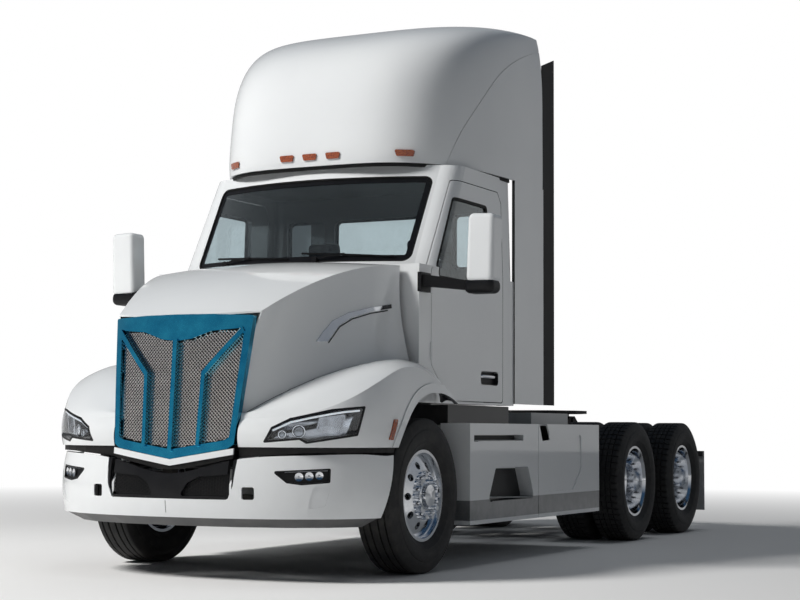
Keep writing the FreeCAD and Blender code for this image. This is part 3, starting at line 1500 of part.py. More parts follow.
def fifth_wheel():
    y, top = dim.wheelbase - 60, dim.coupling_height
    half, reach = dim.coupling_width / 2, dim.coupling_reach
    thick = dim.plate_thickness
    throat = dim.kingpin_bore
    plan = [
        (-half, y - 120), (-half + 130, y - reach), (half - 130, y - reach), (half, y - 120),
        (half, y + 150), (half - 190, y + reach), (110, y + reach), (throat + 14, y + 120),
        (throat, y + 60), (throat, y), (0, y - throat, "through"), (-throat, y),
        (-throat, y + 60), (-throat - 14, y + 120), (-110, y + reach), (-half + 190, y + reach),
        (-half, y + 150),
    ]
    top_plate = plate("coupling_plate", "XY", plan, top - thick, thick)
    ribs = []
    for side, x in (("left", 260), ("right", -260)):
        ribs.append(block(f"rib_{side}", (x - 60, x + 60), (y - 60, y + 60),
                          (dim.coupling_pivot - 30, top - thick)))
    pins = [rod("coupling_pin", "x", (-half + 70, y, dim.coupling_pivot), 24, half * 2 - 140)]
    jaw = block("jaw_cross", (-310, 310), (y - 170, y - 60), (top - thick - 46, top - thick))
    node("fifth_wheel_plate", fused("coupling", top_plate, *ribs, jaw,
                                    less("pin_left", pins[0], block(
                                        "pin_gap", (-200, 200), (y - 100, y + 100),
                                        (dim.coupling_pivot - 80, dim.coupling_pivot + 80)))))
    x = half - 110
    stand = plate("stand", "YZ", [
        (y - 220, dim.frame_top + 12), (y + 220, dim.frame_top + 12),
        (y + 60, dim.coupling_pivot + 40), (y - 60, dim.coupling_pivot + 40),
    ], x, measure(26))
    hole = rod("stand_hole", "x", (x - 20, y, dim.coupling_pivot), 25, 80)
    base = block("stand_base", (rail_inner, half - 60), (y - 260, y + 260),
                 (dim.frame_top, dim.frame_top + 12))
    node("fifth_wheel_bracket", *both(fused("stand_solid", less("stand_cut", stand, hole),
                                            base)))


# Rear end

def flap_hangers():
    y = rail_rear
    low = dim.flap_bottom + dim.flap_height
    bar = block("flap_bar", (rail_face, dim.skirt_side), (y + 32, y + dim.flap_stand),
                (low - 50, low))
    arm = block("flap_arm", (rail_face - 60, rail_face), (y, y + dim.flap_stand),
                (low - 60, low + 10))
    return both(fused("hanger", bar, arm))


def mud_flaps():
    y = rail_rear + dim.flap_stand
    flap = block("flap", (dim.skirt_side - dim.flap_width, dim.skirt_side),
                 (y, y + dim.flap_thickness), (dim.flap_bottom, dim.flap_bottom + dim.flap_height))
    node("mud_flaps", *both(flap))


def tail_lamps():
    """A lamp on the end of each rail, behind the last crossmember."""
    lamp = block("tail_lamp", (rail_inner, rail_outer), (rail_rear, rail_rear + 40),
                 (frame_low + 80, frame_low + 190))
    node("tail_lamps", *both(lamp))


def frame_brackets():
    node("frame_brackets", *cab_mounts(), *both(locker()), *hinge_brackets(), *flap_hangers())


def deck():
    node("deck_plate", block("deck", (-rail_outer, rail_outer),
                             (dim.cab_back + 60, dim.skirt_back - 100),
                             (dim.frame_top, dim.frame_top + 6)))


def mirrors():
    """Arms from the cab's front corners, each with a black foot and a rounded white head."""
    z = float(dim.belt_height)
    base = Part.makeBox(26, 150, 130, point(cab_half, 75, z - 190))
    root = float(cab_half) + 10
    arm = front_prism([(root, z - 72), (root, z - 152), (1400, z - 186), (1400, z - 124)],
                      0, 400, 12)
    sweep = Part.Face(Part.makePolygon([
        Vector(root, 100, 0), Vector(root, 200, 0), Vector(1400, 310, 0), Vector(1400, 220, 0),
        Vector(root, 100, 0)])).extrude(Vector(0, 0, 3000))
    arm = arm.common(sweep)
    foot = Part.makeBox(215, 165, 96, Vector(1330, 185, z - 204))
    foot = foot.makeFillet(40, foot.Edges)
    node("mirror_arms", *both(formed("mirror_arm", base.fuse(arm).fuse(foot))))
    head = front_prism([(1344, z - 128), (1540, z - 136), (1554, z + 326), (1362, z + 334)],
                       190, 145, 38)
    front_edges = [edge for edge in head.Edges if edge.BoundBox.YMax < 191]
    head = head.makeFillet(34, front_edges)
    node("mirror_heads", *both(formed("mirror_head", head.cut(foot.makeOffsetShape(0.3, 0.01)))))


for build in (frame_rails, crossmembers, frame_brackets, front_axle_beam, front_springs,
              knuckles, tie_rod, wheels, drive_axles, rear_suspension, power_unit, energy_boxes,
              fifth_wheel, cab, interior, steering_wheel, roof_fairing, roof_markers,
              side_extenders, mirrors, hood_panel, hood_trims, hood_seal, fenders, headlamps,
              side_markers, grille, bumper, bumper_insert, air_dam, skirts, deck, mud_flaps,
              tail_lamps):
    build()

doc.recompute()

faults = [piece.Name for piece in doc.Objects
          if {"Invalid", "Error"} & set(piece.State)]
for name, piece in NODES.items():
    if piece.Shape.isNull() or not piece.Shape.isValid() or not piece.Shape.Solids:
        faults.append(name)
if faults:
    raise RuntimeError("These pieces failed: " + ", ".join(faults))

os.makedirs("parts", exist_ok=True)
for name, piece in NODES.items():
    piece.Shape.exportStep(f"parts/{name}.step")
print(len(NODES), "nodes written")
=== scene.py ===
# %% [markdown]
# # A road tractor, dressed for a photograph
# The metal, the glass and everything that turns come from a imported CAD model, which stays where it is.
# This lesson gives each of its surfaces a finish and adds what a drawing office leaves out: tread,
# woven wire, wipers, handles, cushions and fasteners. Each step first says what the real thing is,
# then how it could be made, and why it is made the way it is here.

import json
import math

import bmesh
import bpy
from mathutils import Matrix, Vector
from mathutils.bvhtree import BVHTree

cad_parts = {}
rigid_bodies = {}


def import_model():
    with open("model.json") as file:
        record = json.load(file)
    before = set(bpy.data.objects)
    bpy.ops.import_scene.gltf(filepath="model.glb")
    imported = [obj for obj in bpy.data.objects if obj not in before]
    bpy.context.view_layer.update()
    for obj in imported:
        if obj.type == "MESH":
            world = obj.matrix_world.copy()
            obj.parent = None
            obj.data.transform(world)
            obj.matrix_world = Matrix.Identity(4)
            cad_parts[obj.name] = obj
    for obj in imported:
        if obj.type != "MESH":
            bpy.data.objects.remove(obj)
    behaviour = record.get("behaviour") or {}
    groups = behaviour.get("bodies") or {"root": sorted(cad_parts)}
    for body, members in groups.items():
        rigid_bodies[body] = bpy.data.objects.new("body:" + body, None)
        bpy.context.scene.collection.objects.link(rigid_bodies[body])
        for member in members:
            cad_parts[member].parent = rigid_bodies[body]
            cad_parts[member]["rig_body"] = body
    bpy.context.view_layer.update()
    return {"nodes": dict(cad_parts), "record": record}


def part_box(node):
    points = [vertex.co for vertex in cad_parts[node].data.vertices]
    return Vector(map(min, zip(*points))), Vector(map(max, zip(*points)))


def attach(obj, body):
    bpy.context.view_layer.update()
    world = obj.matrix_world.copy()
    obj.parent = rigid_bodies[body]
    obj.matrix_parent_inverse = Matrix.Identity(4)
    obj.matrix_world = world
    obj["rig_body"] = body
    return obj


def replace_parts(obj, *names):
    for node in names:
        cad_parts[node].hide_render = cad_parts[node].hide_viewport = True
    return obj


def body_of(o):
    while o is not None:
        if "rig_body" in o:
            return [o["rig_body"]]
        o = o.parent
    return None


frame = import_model()

# %% [markdown]
# ## Where things are
# The tractor faces -Y and its left side is +X. The axles are the natural places to measure from, and
# the boxes of the wheels give them, so no number is typed twice.

# %% Axle lines


def middle_of(node):
    """The centre of a CAD node's box."""
    low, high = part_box(node)
    return (low + high) / 2


front_axle = middle_of("wheel_front_left")
mid_axle = middle_of("wheels_mid_left")
rear_axle = middle_of("wheels_rear_left")
SIDES = {"left": 1, "right": -1}
print("axles at y", round(front_axle.y, 3), round(mid_axle.y, 3), round(rear_axle.y, 3))

# %% [markdown]
# ## Shader sums as Python
# A material is a graph, and drawing one in code gets long: every sum needs a node, a setting and two
# links. A socket can instead be wrapped in a small class with Python's own operators, so that
# `1 - mask * 0.5` builds the two nodes by itself. Everything that isn't a sum comes from one method,
# `node`, which takes the node's type, its settings and the values or wires of its sockets.

# %% Wires and finishes


class Wire:
    """An output socket. Sums and products written with it add Math nodes."""

    def __init__(self, finish, socket):
        self.finish = finish
        self.socket = socket

    def of(self, name):
        """Another output of the same node."""
        return Wire(self.finish, self.socket.node.outputs[name])

    def sum(self, operation, *terms):
        return self.finish.node("Math", {"operation": operation}, dict(enumerate(terms)))

    def __add__(self, other):
        return self.sum("ADD", self, other)

    def __radd__(self, other):
        return self.sum("ADD", other, self)

    def __sub__(self, other):
        return self.sum("SUBTRACT", self, other)

    def __rsub__(self, other):
        return self.sum("SUBTRACT", other, self)

    def __mul__(self, other):
        return self.sum("MULTIPLY", self, other)

    def __rmul__(self, other):
        return self.sum("MULTIPLY", other, self)

    def __pow__(self, other):
        return self.sum("POWER", self, other)

    def __rpow__(self, other):
        return self.sum("POWER", other, self)

    def ramp(self, low, high, start=0.0, end=1.0):
        """The same value moved from the span low..high to start..end, and held there beyond."""
        return self.finish.node("MapRange", {}, {
            "Value": self, "From Min": low, "From Max": high, "To Min": start, "To Max": end})


class Finish:
    """A material, or the world, under construction."""

    def __init__(self, name, shelf=bpy.data.materials):
        self.material = shelf.new(name)
        self.material.use_nodes = True
        self.tree = self.material.node_tree
        self.tree.nodes.clear()

    def node(self, kind, settings, values):
        """Adds a node. The settings come first, because some of them change its sockets."""
        made = self.tree.nodes.new("ShaderNode" + kind)
        for key, value in settings.items():
            setattr(made, key, value)
        for key, value in values.items():
            socket = made.inputs[key]
            if isinstance(value, Wire):
                self.tree.links.new(value.socket, socket)
            elif isinstance(value, tuple) and len(value) == 3 and socket.type == "RGBA":
                socket.default_value = (*value, 1.0)
            else:
                socket.default_value = value
        outputs = [output for output in made.outputs if output.enabled]
        return Wire(self, outputs[0]) if outputs else None

    def place(self):
        """Where a point of the surface is, in metres."""
        return self.node("TexCoord", {}, {}).of("Object")

    def axis(self, name):
        """One coordinate of that place."""
        return self.node("SeparateXYZ", {}, {0: self.place()}).of(name)

    def noise(self, scale, detail=3.0, roughness=0.5):
        """Cloudy values round 0.5, with scale in patches per metre."""
        return self.node("TexNoise", {}, {"Vector": self.place(), "Scale": scale,
                                          "Detail": detail, "Roughness": roughness})

    def blend(self, first, second, share):
        """Two colours mixed by a share that may vary."""
        return self.node("Mix", {"data_type": "RGBA"}, {0: share, 6: first, 7: second})

    def looks_inward(self, middle):
        """1 on faces that look towards a point, as the inside of a shell does, or else 0."""
        place = self.node("NewGeometry", {}, {})
        away = self.node("VectorMath", {"operation": "SUBTRACT"}, {0: self.place(), 1: middle})
        facing = self.node("VectorMath", {"operation": "DOT_PRODUCT"},
                           {0: place.of("True Normal"), 1: away}).of("Value")
        return facing.ramp(0.0, -0.05)

    def bump(self, height, depth):
        """A normal that leans as a relief of that depth in metres would."""
        return self.node("Bump", {}, {"Height": height, "Distance": depth})

    def surface(self, **sockets):
        """The Principled shader, its sockets named with underscores, joined to the output."""
        names = {key.replace("_", " "): value for key, value in sockets.items()}
        shader = self.node("BsdfPrincipled", {}, names)
        self.node("OutputMaterial", {}, {"Surface": shader})
        return self.material

# %% [markdown]
# ## Paint
# Truck paint is a colour under clear lacquer. The lacquer is the coat of the shader, smooth but for a
# faint orange peel, and the colour below it is nearly even. Road film gathers low down on the
# fairings, so a mask that grows towards the ground dulls the coat a little there. The side fairings have
# a grey band near their foot, between two heights.

# %% Painted metal
TRIM_AND_PAINTED_SHADE = (0.022, 0.023, 0.026)
BAND_GREY = (0.115, 0.120, 0.126)
BAND_TOP, BAND_FOOT, BAND_EDGE = 0.457, 0.317, 0.003
ROAD_DUST = (1.0, 0.93, 0.84)


def painted(name, colour, shade, coat=1.0, roughness=0.32, within=None, band=False,
            black_front=False):
    """Paint. A hollow panel has a middle, and its faces that look there are dark: trim inside the cab,
    and painted shade inside the hood, fenders and roof fairing.
    """
    f = Finish(name)
    cloud = f.noise(1.3, 2.0)
    film = f.axis("Z").ramp(1.15, 0.25) * f.noise(7.0, 5.0, 0.6).ramp(0.35, 0.75)
    clean = f.blend(colour, shade, cloud.ramp(0.35, 0.65))
    # Faces that look towards the middle take the dark colour: real trim in the cab, painted shade in the
    # hood, fenders and roof fairing.
    if within:
        clean = f.blend(clean, TRIM_AND_PAINTED_SHADE, f.looks_inward(within))
    if band:
        height = f.axis("Z")
        dark = (height.ramp(BAND_TOP, BAND_TOP - BAND_EDGE)
                * height.ramp(BAND_FOOT, BAND_FOOT + BAND_EDGE))
        clean = f.blend(clean, BAND_GREY, dark)
    if black_front:
        facing = f.node("SeparateXYZ", {}, {0: f.node("NewGeometry", {}, {}).of("True Normal")})
        clean = f.blend(clean, (0.010, 0.010, 0.011), facing.of("Y").ramp(-0.6, -0.8))
    dusty = tuple(c * 0.72 + 0.05 * t for c, t in zip(colour, ROAD_DUST))
    peel = f.bump(f.noise(420.0, 1.0), 0.00004)
    return f.surface(
        Base_Color=f.blend(clean, dusty, film * 0.30), Metallic=0.0,
        Roughness=roughness + film * 0.16, IOR=1.5, Coat_Weight=coat - film * 0.35,
        Coat_Roughness=0.035, Coat_IOR=1.5, Normal=peel)


WHITE, WHITE_SHADE = (0.80, 0.82, 0.83), (0.77, 0.79, 0.805)
white_paint = painted("white_paint", WHITE, WHITE_SHADE)
# The middles darken inward faces: trim in the cab, painted shade in the hood, fenders and roof fairing.
cab_paint = painted("cab_paint", WHITE, WHITE_SHADE, within=(0, front_axle.y + 0.90, 1.95))
hood_paint = painted("hood_paint", WHITE, WHITE_SHADE, within=(0, front_axle.y - 0.35, 0.90))
fairing_paint = painted("fairing_paint", WHITE, WHITE_SHADE, within=(0, front_axle.y + 1.9, 2.9))
skirt_paint = painted("skirt_paint", WHITE, WHITE_SHADE, band=True)
extender_paint = painted("extender_paint", WHITE, WHITE_SHADE, black_front=True)
grey_paint = painted("grey_paint", (0.42, 0.43, 0.43), (0.38, 0.39, 0.395), 0.4, 0.42)
frame_paint = painted("frame_paint", (0.022, 0.022, 0.024), (0.03, 0.03, 0.031), 0.3, 0.45)
print("paints:", white_paint.name, grey_paint.name, frame_paint.name)

# %% [markdown]
# ## Bright metal
# Chrome and polished aluminium are the same shader with different colours: fully metallic, with very
# little roughness. What makes them look real is what they mirror, and small unevenness. The blue
# surround of the grille is a tinted chrome, with a painted highlight: a light cyan colour on the faces
# seen at a glancing angle. Wheels are turned on a lathe, which leaves fine rings about
# the axle, so their bump follows the distance from the axle line.

# %% Chrome, tinted chrome and aluminium


def bright(name, colour, other, roughness, edge=None):
    """Polished metal, with a third colour painted where it is seen at a glancing angle, if one is given:
    a painted highlight.
    """
    f = Finish(name)
    cloud = f.noise(9.0, 4.0, 0.6)
    smear = f.noise(60.0, 3.0).ramp(0.3, 0.8)
    tone = f.blend(colour, other, cloud.ramp(0.35, 0.7))
    if edge:
        painted_highlight_share = f.node("LayerWeight", {}, {"Blend": 0.5}).of("Facing")
        # Painted highlight: the third colour on faces seen at a glancing angle.
        tone = f.blend(tone, edge, painted_highlight_share.ramp(0.35, 0.9))
    return f.surface(
        Base_Color=tone, Metallic=1.0,
        Roughness=roughness + smear * 0.05, Normal=f.bump(f.noise(35.0, 1.0), 0.00006))


bright_metal = bright("bright_metal", (0.80, 0.81, 0.83), (0.72, 0.74, 0.77), 0.05)
blue_chrome = bright("blue_chrome", (0.035, 0.36, 0.58), (0.020, 0.25, 0.46), 0.10,
                     (0.30, 0.75, 0.85))
wire_metal = bright("wire_metal", (0.88, 0.86, 0.83), (0.74, 0.72, 0.70), 0.22)
# The lamp reflectors take a darker copy of the chrome: painted shade for the dark inside of the
# headlamps.
lamp_chrome_painted_shade = bright("lamp_chrome_painted_shade", (0.40, 0.42, 0.45), (0.26, 0.27, 0.29), 0.10)


def turned_metal(name):
    """Aluminium polished on a lathe, for wheels that stand on one of the three axle lines."""
    f = Finish(name)
    height = f.axis("Z") - front_axle.z
    along = f.axis("Y")
    near = None
    for axle in (front_axle, mid_axle, rear_axle):
        away = (along - axle.y) * (along - axle.y) + height * height
        near = away if near is None else near.sum("MINIMUM", near, away)
    rings = near.sum("SINE", (near ** 0.5) * 2600.0)
    grime = f.noise(26.0, 5.0, 0.65).ramp(0.52, 0.80)
    tone = f.blend((0.80, 0.82, 0.85), (0.52, 0.53, 0.54), grime * 0.6)
    return f.surface(Base_Color=tone, Metallic=1.0, Roughness=0.09 + grime * 0.16,
                     Normal=f.bump(rings, 0.000012))


polished_wheel = turned_metal("polished_wheel")
print("bright metals:", bright_metal.name, blue_chrome.name, wire_metal.name, polished_wheel.name)

# %% [markdown]
# ## Castings, plastic and rubber
# These have no lacquer, so light spreads on them, and their relief shows: the sandy skin of a casting,
# the leather-like grain that moulds press into black plastic, and the dusty bloom on rubber.

# %% Dull materials


def dull(name, colour, other, roughness, grain, depth):
    """A material with no coat, whose relief has so many grains to the metre and such a depth."""
    f = Finish(name)
    cloud = f.noise(6.0, 5.0, 0.6).ramp(0.38, 0.68)
    grains = f.node("TexVoronoi", {"feature": "SMOOTH_F1"}, {
        "Vector": f.place(), "Scale": grain, "Smoothness": 0.6})
    rough = roughness + (grains - 0.5) * 0.06
    return f.surface(Base_Color=f.blend(colour, other, cloud), Metallic=0.0, Roughness=rough,
                     IOR=1.36, Normal=f.bump(grains, depth))


cast_parts = dull("cast_parts", (0.030, 0.030, 0.032), (0.050, 0.046, 0.042), 0.62, 260.0, 0.0004)
black_plastic = dull("black_plastic", (0.007, 0.007, 0.008), (0.011, 0.011, 0.012), 0.46, 700.0,
                     0.00012)
grey_plastic = dull("grey_plastic", (0.115, 0.118, 0.120), (0.15, 0.15, 0.15), 0.5, 600.0, 0.00014)
flap_rubber = dull("flap_rubber", (0.58, 0.585, 0.59), (0.52, 0.52, 0.515), 0.7, 220.0, 0.0003)
edge_rubber = dull("edge_rubber", (0.010, 0.010, 0.010), (0.016, 0.015, 0.015), 0.62, 300.0, 0.0001)
trim_plastic = dull("trim_plastic", (0.040, 0.042, 0.046), (0.052, 0.053, 0.056), 0.55, 800.0,
                    0.0001)


def tyre_rubber():
    """Black rubber, greyer where the road has polished and dusted the tread."""
    f = Finish("tyre_rubber")
    height = f.axis("Z") - front_axle.z
    dust = f.noise(14.0, 6.0, 0.65).ramp(0.42, 0.72)
    fine = f.noise(380.0, 3.0)
    tone = f.blend((0.013, 0.013, 0.0135), (0.050, 0.047, 0.043), dust * 0.5)
    low = height.ramp(-0.40, -0.52) * 0.4
    return f.surface(Base_Color=f.blend(tone, (0.075, 0.070, 0.064), low), Metallic=0.0,
                     Roughness=0.66 + fine * 0.16, IOR=1.5, Normal=f.bump(fine, 0.00035))


tyre_black = tyre_rubber()
print("dull materials made, tyres in", tyre_black.name)

# %% [markdown]
# ## Glass and lamps
# The windows are real panes 6 mm thick, so a transmitting shader with glass's own index bends light as
# it should. The tint is in the pane's colour, and light passes both faces, so it is written paler than
# it looks. Marker lamps are moulded plastic with a fine optic pattern on the inside, for which
# small cells of bump stand.

# %% Panes and lenses


def clear(name, colour):
    """A pane that light passes, with a trace of dust."""
    f = Finish(name)
    dust = f.noise(18.0, 5.0, 0.6).ramp(0.55, 0.9)
    return f.surface(Base_Color=f.blend(colour, tuple(0.9 * c for c in colour), dust),
                     Roughness=dust * 0.02, IOR=1.45, Transmission_Weight=1.0)


tinted_glass = clear("tinted_glass", (0.62, 0.69, 0.71))
lamp_glass = clear("lamp_glass", (0.93, 0.95, 0.97))


def coloured_lens(name, colour, deep):
    """A marker or tail lamp's cover, deeper in colour between the dimples of its optic pattern."""
    f = Finish(name)
    optic = f.node("TexVoronoi", {}, {"Vector": f.place(), "Scale": 160.0})
    tone = f.blend(colour, deep, optic.ramp(0.1, 0.7))
    return f.surface(Base_Color=tone, Roughness=0.16, IOR=1.5, Coat_Weight=1.0,
                     Coat_Roughness=0.02, Emission_Color=tone, Emission_Strength=0.03,
                     Normal=f.bump(optic, 0.0006))


amber_lens = coloured_lens("amber_lens", (0.50, 0.12, 0.025), (0.16, 0.022, 0.008))
red_lens = coloured_lens("red_lens", (0.48, 0.012, 0.010), (0.20, 0.004, 0.004))
print("glass:", tinted_glass.name, lamp_glass.name)

# %% [markdown]
# ## Seat cloth
# A hard-wearing woven cloth. Two waves that cross at right angles, one for each set of threads, make a
# weave that needs no unwrapping, and a little noise keeps it from looking printed.

# %% Woven cloth


def woven(name, colour, thread):
    """Cloth whose raised threads have a colour of their own."""
    f = Finish(name)
    threads = []
    for direction in ("X", "Z"):
        threads.append(f.node("TexWave", {"bands_direction": direction}, {
            "Vector": f.place(), "Scale": 60.0, "Distortion": 0.6, "Detail": 1.0}))
    weave = threads[0].sum("MAXIMUM", *threads)
    tone = f.blend(colour, thread, weave * f.noise(30.0).ramp(0.3, 0.8))
    return f.surface(Base_Color=tone, Roughness=0.92, IOR=1.4, Sheen_Weight=0.25,
                     Normal=f.bump(weave, 0.0006))


seat_cloth = woven("seat_cloth", (0.030, 0.032, 0.037), (0.070, 0.074, 0.082))
print("cloth:", seat_cloth.name)

# %% [markdown]
# ## Dressing the frame
# A CAD part whose shape is right keeps its mesh and only takes a finish. The record already groups the
# parts by finish, in slots, so one table from slot to material dresses all of them.

# %% Finishes for the CAD parts
BY_SLOT = {
    "white_paint": white_paint, "blue_chrome": blue_chrome, "bright_metal": bright_metal,
    "mesh_metal": wire_metal, "frame_paint": frame_paint, "grey_paint": grey_paint,
    "cast_parts": cast_parts, "polished_wheel": polished_wheel, "tyre": tyre_black,
    "black_plastic": black_plastic, "grey_plastic": grey_plastic, "edge_rubber": edge_rubber,
    "tinted_glass": tinted_glass, "lamp_lens": lamp_glass, "amber_lens": amber_lens,
    "red_lens": red_lens, "seat_cloth": seat_cloth, "trim_plastic": trim_plastic,
}


def dress(node, material):
    """Puts a finish on every slot of a CAD node."""
    thing = frame["nodes"][node]
    for number in range(max(1, len(thing.material_slots))):
        if number < len(thing.material_slots):
            thing.material_slots[number].material = material
        else:
            thing.data.materials.append(material)


slot_of = {part["node"]: part["material_slot"] for part in frame["record"]["subparts"]}
for node_name in frame["nodes"]:
    dress(node_name, BY_SLOT[slot_of[node_name]])
dress("mud_flaps", flap_rubber)
for node_name, finish in (("cab_shell", cab_paint), ("door_left", cab_paint),
                          ("door_right", cab_paint), ("hood_panel", hood_paint),
                          ("fenders", hood_paint), ("roof_fairing", fairing_paint),
                          ("step_fairings", skirt_paint), ("rear_fairings", skirt_paint),
                          ("side_extenders", extender_paint), ("lamp_reflectors", lamp_chrome_painted_shade)):
    dress(node_name, finish)
print(len(slot_of), "parts dressed in", len(BY_SLOT), "finishes")

# %% [markdown]
# ## A small kit for building meshes
# Bars, bent tubes, blocks and turned forms make most of what follows. Each is only a list of points and
# a list of faces, so a class that collects them can join hundreds into one mesh, mirror them to the
# other side and hand them over as one object. That is quicker than hundreds of objects with modifiers.

# %% Meshes from bars, tubes, blocks and turned forms


def ring_faces(columns, rows, around=True, across=False):
    """Four-sided faces of a grid of points, closed round its columns or along its rows."""
    faces = []
    for i in range(columns if around else columns - 1):
        for j in range(rows if across else rows - 1):
            a, b = i * rows, (i + 1) % columns * rows
            k = (j + 1) % rows
            faces.append((a + j, b + j, b + k, a + k))
    return faces


class Shape:
    """Points and faces of a mesh that is being put together."""

    def __init__(self):
        self.spots = []
        self.faces = []

    def add(self, spots, faces):
        first = len(self.spots)
        self.spots += [Vector(spot) for spot in spots]
        self.faces += [tuple(first + number for number in face) for face in faces]
        return self

    def block(self, low, high):
        spots = [(x, y, z) for x in (low[0], high[0]) for y in (low[1], high[1])
                 for z in (low[2], high[2])]
        return self.add(spots, [(0, 1, 3, 2), (4, 6, 7, 5), (0, 4, 5, 1), (2, 3, 7, 6),
                                (0, 2, 6, 4), (1, 5, 7, 3)])

    def tube(self, path, radius, sides=8, closed=False, flat=1.0, up=(0, 0, 1)):
        """A bar along a path, round or flattened along the up direction."""
        path = [Vector(spot) for spot in path]
        count = len(path)
        spots = []
        for i, spot in enumerate(path):
            before = path[i - 1] if i or closed else spot
            after = path[(i + 1) % count] if i < count - 1 or closed else spot
            along = (after - before).normalized()
            side = along.cross(Vector(up)).normalized()
            other = side.cross(along).normalized()
            for k in range(sides):
                turn = 2 * math.pi * (k + 0.5) / sides
                spots.append(spot + radius * (math.cos(turn) * side
                                              + flat * math.sin(turn) * other))
        faces = ring_faces(count, sides, closed, True)
        if not closed:
            faces += [tuple(range(sides)), tuple(reversed(range((count - 1) * sides,
                                                                count * sides)))]
        return self.add(spots, faces)

    def turned(self, profile, centre, steps=48, away=1):
        """A form turned about a line along X: pairs of distance out along it and radius."""
        centre = Vector(centre)
        spots = []
        for k in range(steps):
            turn = 2 * math.pi * k / steps
            spots += [centre + Vector((away * out, radius * math.cos(turn),
                                       radius * math.sin(turn))) for out, radius in profile]
        faces = ring_faces(steps, len(profile))
        rows = len(profile)
        for end in (0, rows - 1):
            if profile[end][1] > 0.0005:
                faces.append(tuple(k * rows + end for k in range(steps)))
        return self.add(spots, faces)

    def panel(self, outline, back):
        """A flat plate: a closed outline of points, made thick by the vector back."""
        count = len(outline)
        spots = [Vector(spot) for spot in outline]
        spots += [spot + Vector(back) for spot in spots]
        sides = [(i, (i + 1) % count, count + (i + 1) % count, count + i) for i in range(count)]
        return self.add(spots, sides + [tuple(range(count)),
                                        tuple(reversed(range(count, 2 * count)))])

    def mirror(self):
        """Adds the same form on the other side of the vehicle."""
        return self.add([(-s.x, s.y, s.z) for s in self.spots],
                        [tuple(reversed(face)) for face in self.faces])

    def make(self, name, material, body, smooth=35.0):
        """The mesh as an object that rides on a body. Edges sharper than smooth stay crisp."""
        mesh = bpy.data.meshes.new(name)
        mesh.from_pydata(self.spots, [], self.faces)
        edit = bmesh.new()
        edit.from_mesh(mesh)
        bmesh.ops.recalc_face_normals(edit, faces=edit.faces)
        for edge in edit.edges:
            bend = edge.calc_face_angle(0.0)
            edge.smooth = bend < math.radians(smooth)
        for face in edit.faces:
            face.smooth = True
        edit.to_mesh(mesh)
        edit.free()
        mesh.materials.append(material)
        made = bpy.data.objects.new(name, mesh)
        bpy.context.scene.collection.objects.link(made)
        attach(made, body)
        print(name, len(self.faces), "faces")
        return made


def body_with(node):
    """The name of the body that a CAD node belongs to."""
    return body_of(frame["nodes"][node])[0]


print("the kit makes blocks, tubes, turned forms and plates")

# %% [markdown]
# ## Tyres
# A steered wheel carries a rib tyre: straight grooves run round it, which throws water aside and lets it
# roll quietly. The driven wheels carry blocks, cut by grooves across the tread, for grip. A tyre could be
# carved with booleans or bent from a flat strip. Here it is turned: a half profile of the side wall and
# tread is repeated round the axle, and where a column of points falls in a groove, the tread's points
# step down to the groove's floor. The outline is the CAD tyre's own, so the tread stays within it.

# %% Tread and side walls
WALL = [(0.100, 0.2865), (0.1045, 0.302), (0.116, 0.312), (0.128, 0.330), (0.1385, 0.345),
        (0.1400, 0.3465), (0.1395, 0.350), (0.146, 0.368), (0.1495, 0.395), (0.1500, 0.402),
        (0.1480, 0.424), (0.1465, 0.432), (0.1440, 0.4335), (0.1430, 0.450), (0.1375, 0.465),
        (0.1290, 0.484), (0.1215, 0.497), (0.1170, 0.5035)]
TREAD_EDGE, EDGE_RADIUS = 0.112, 0.5062
LAND_RADIUS, GROOVE_FLOOR, GROOVE_DEPTH = 0.5069, 0.493, 0.014
GROOVE_SLOPE = 0.0012
INNER_BLOCKS = 0.052
LUG_START, LUG_DEPTH = 0.496, 0.011


def tread_profile(grooves):
    """Across the tread from the left edge to the right: place, radius, and whether it is a groove."""
    line = [(TREAD_EDGE, EDGE_RADIUS, False)]
    for centre, wide in grooves:
        brink, foot = wide / 2 + GROOVE_SLOPE, wide / 2 - GROOVE_SLOPE
        line += [(centre + brink, LAND_RADIUS, False), (centre + foot, GROOVE_FLOOR, True),
                 (centre - foot, GROOVE_FLOOR, True), (centre - brink, LAND_RADIUS, False)]
    return line + [(-TREAD_EDGE, EDGE_RADIUS, False)]


def tyre(shape, centre, grooves, pitches, cuts, skew):
    """One tyre. Cuts are the shares of a pitch where columns stand, and if they are in a groove."""
    tread = tread_profile(grooves)
    rows = [(x, r, None) for x, r in WALL] + tread + [(-x, r, None) for x, r in reversed(WALL)]
    columns = [(number + share, deep) for number in range(pitches) for share, deep in cuts]
    spots = []
    for column, deep in columns:
        for place, radius, groove in rows:
            turn = 2 * math.pi * (column / pitches) + skew * min(abs(place), TREAD_EDGE)
            if deep and groove is False:
                radius -= GROOVE_DEPTH * (0.9 if abs(place) > INNER_BLOCKS else 0.5)
            elif deep and groove is None and radius > LUG_START:
                radius -= LUG_DEPTH * (radius - LUG_START) / (WALL[-1][1] - LUG_START)
            spots.append((centre.x + place, centre.y + radius * math.cos(turn),
                          centre.z + radius * math.sin(turn)))
    shape.add(spots, ring_faces(len(columns), len(rows), True, True))


STEER_GROOVES = [(0.079, 0.010), (0.029, 0.011), (-0.029, 0.011), (-0.079, 0.010)]
DRIVE_GROOVES = [(0.066, 0.009), (0.022, 0.007), (-0.022, 0.007), (-0.066, 0.009)]
BLOCK_CUTS = [(0.0, False), (0.78, False), (0.80, True), (0.98, True)]
DUAL_CENTRES = (0.735, 1.075)

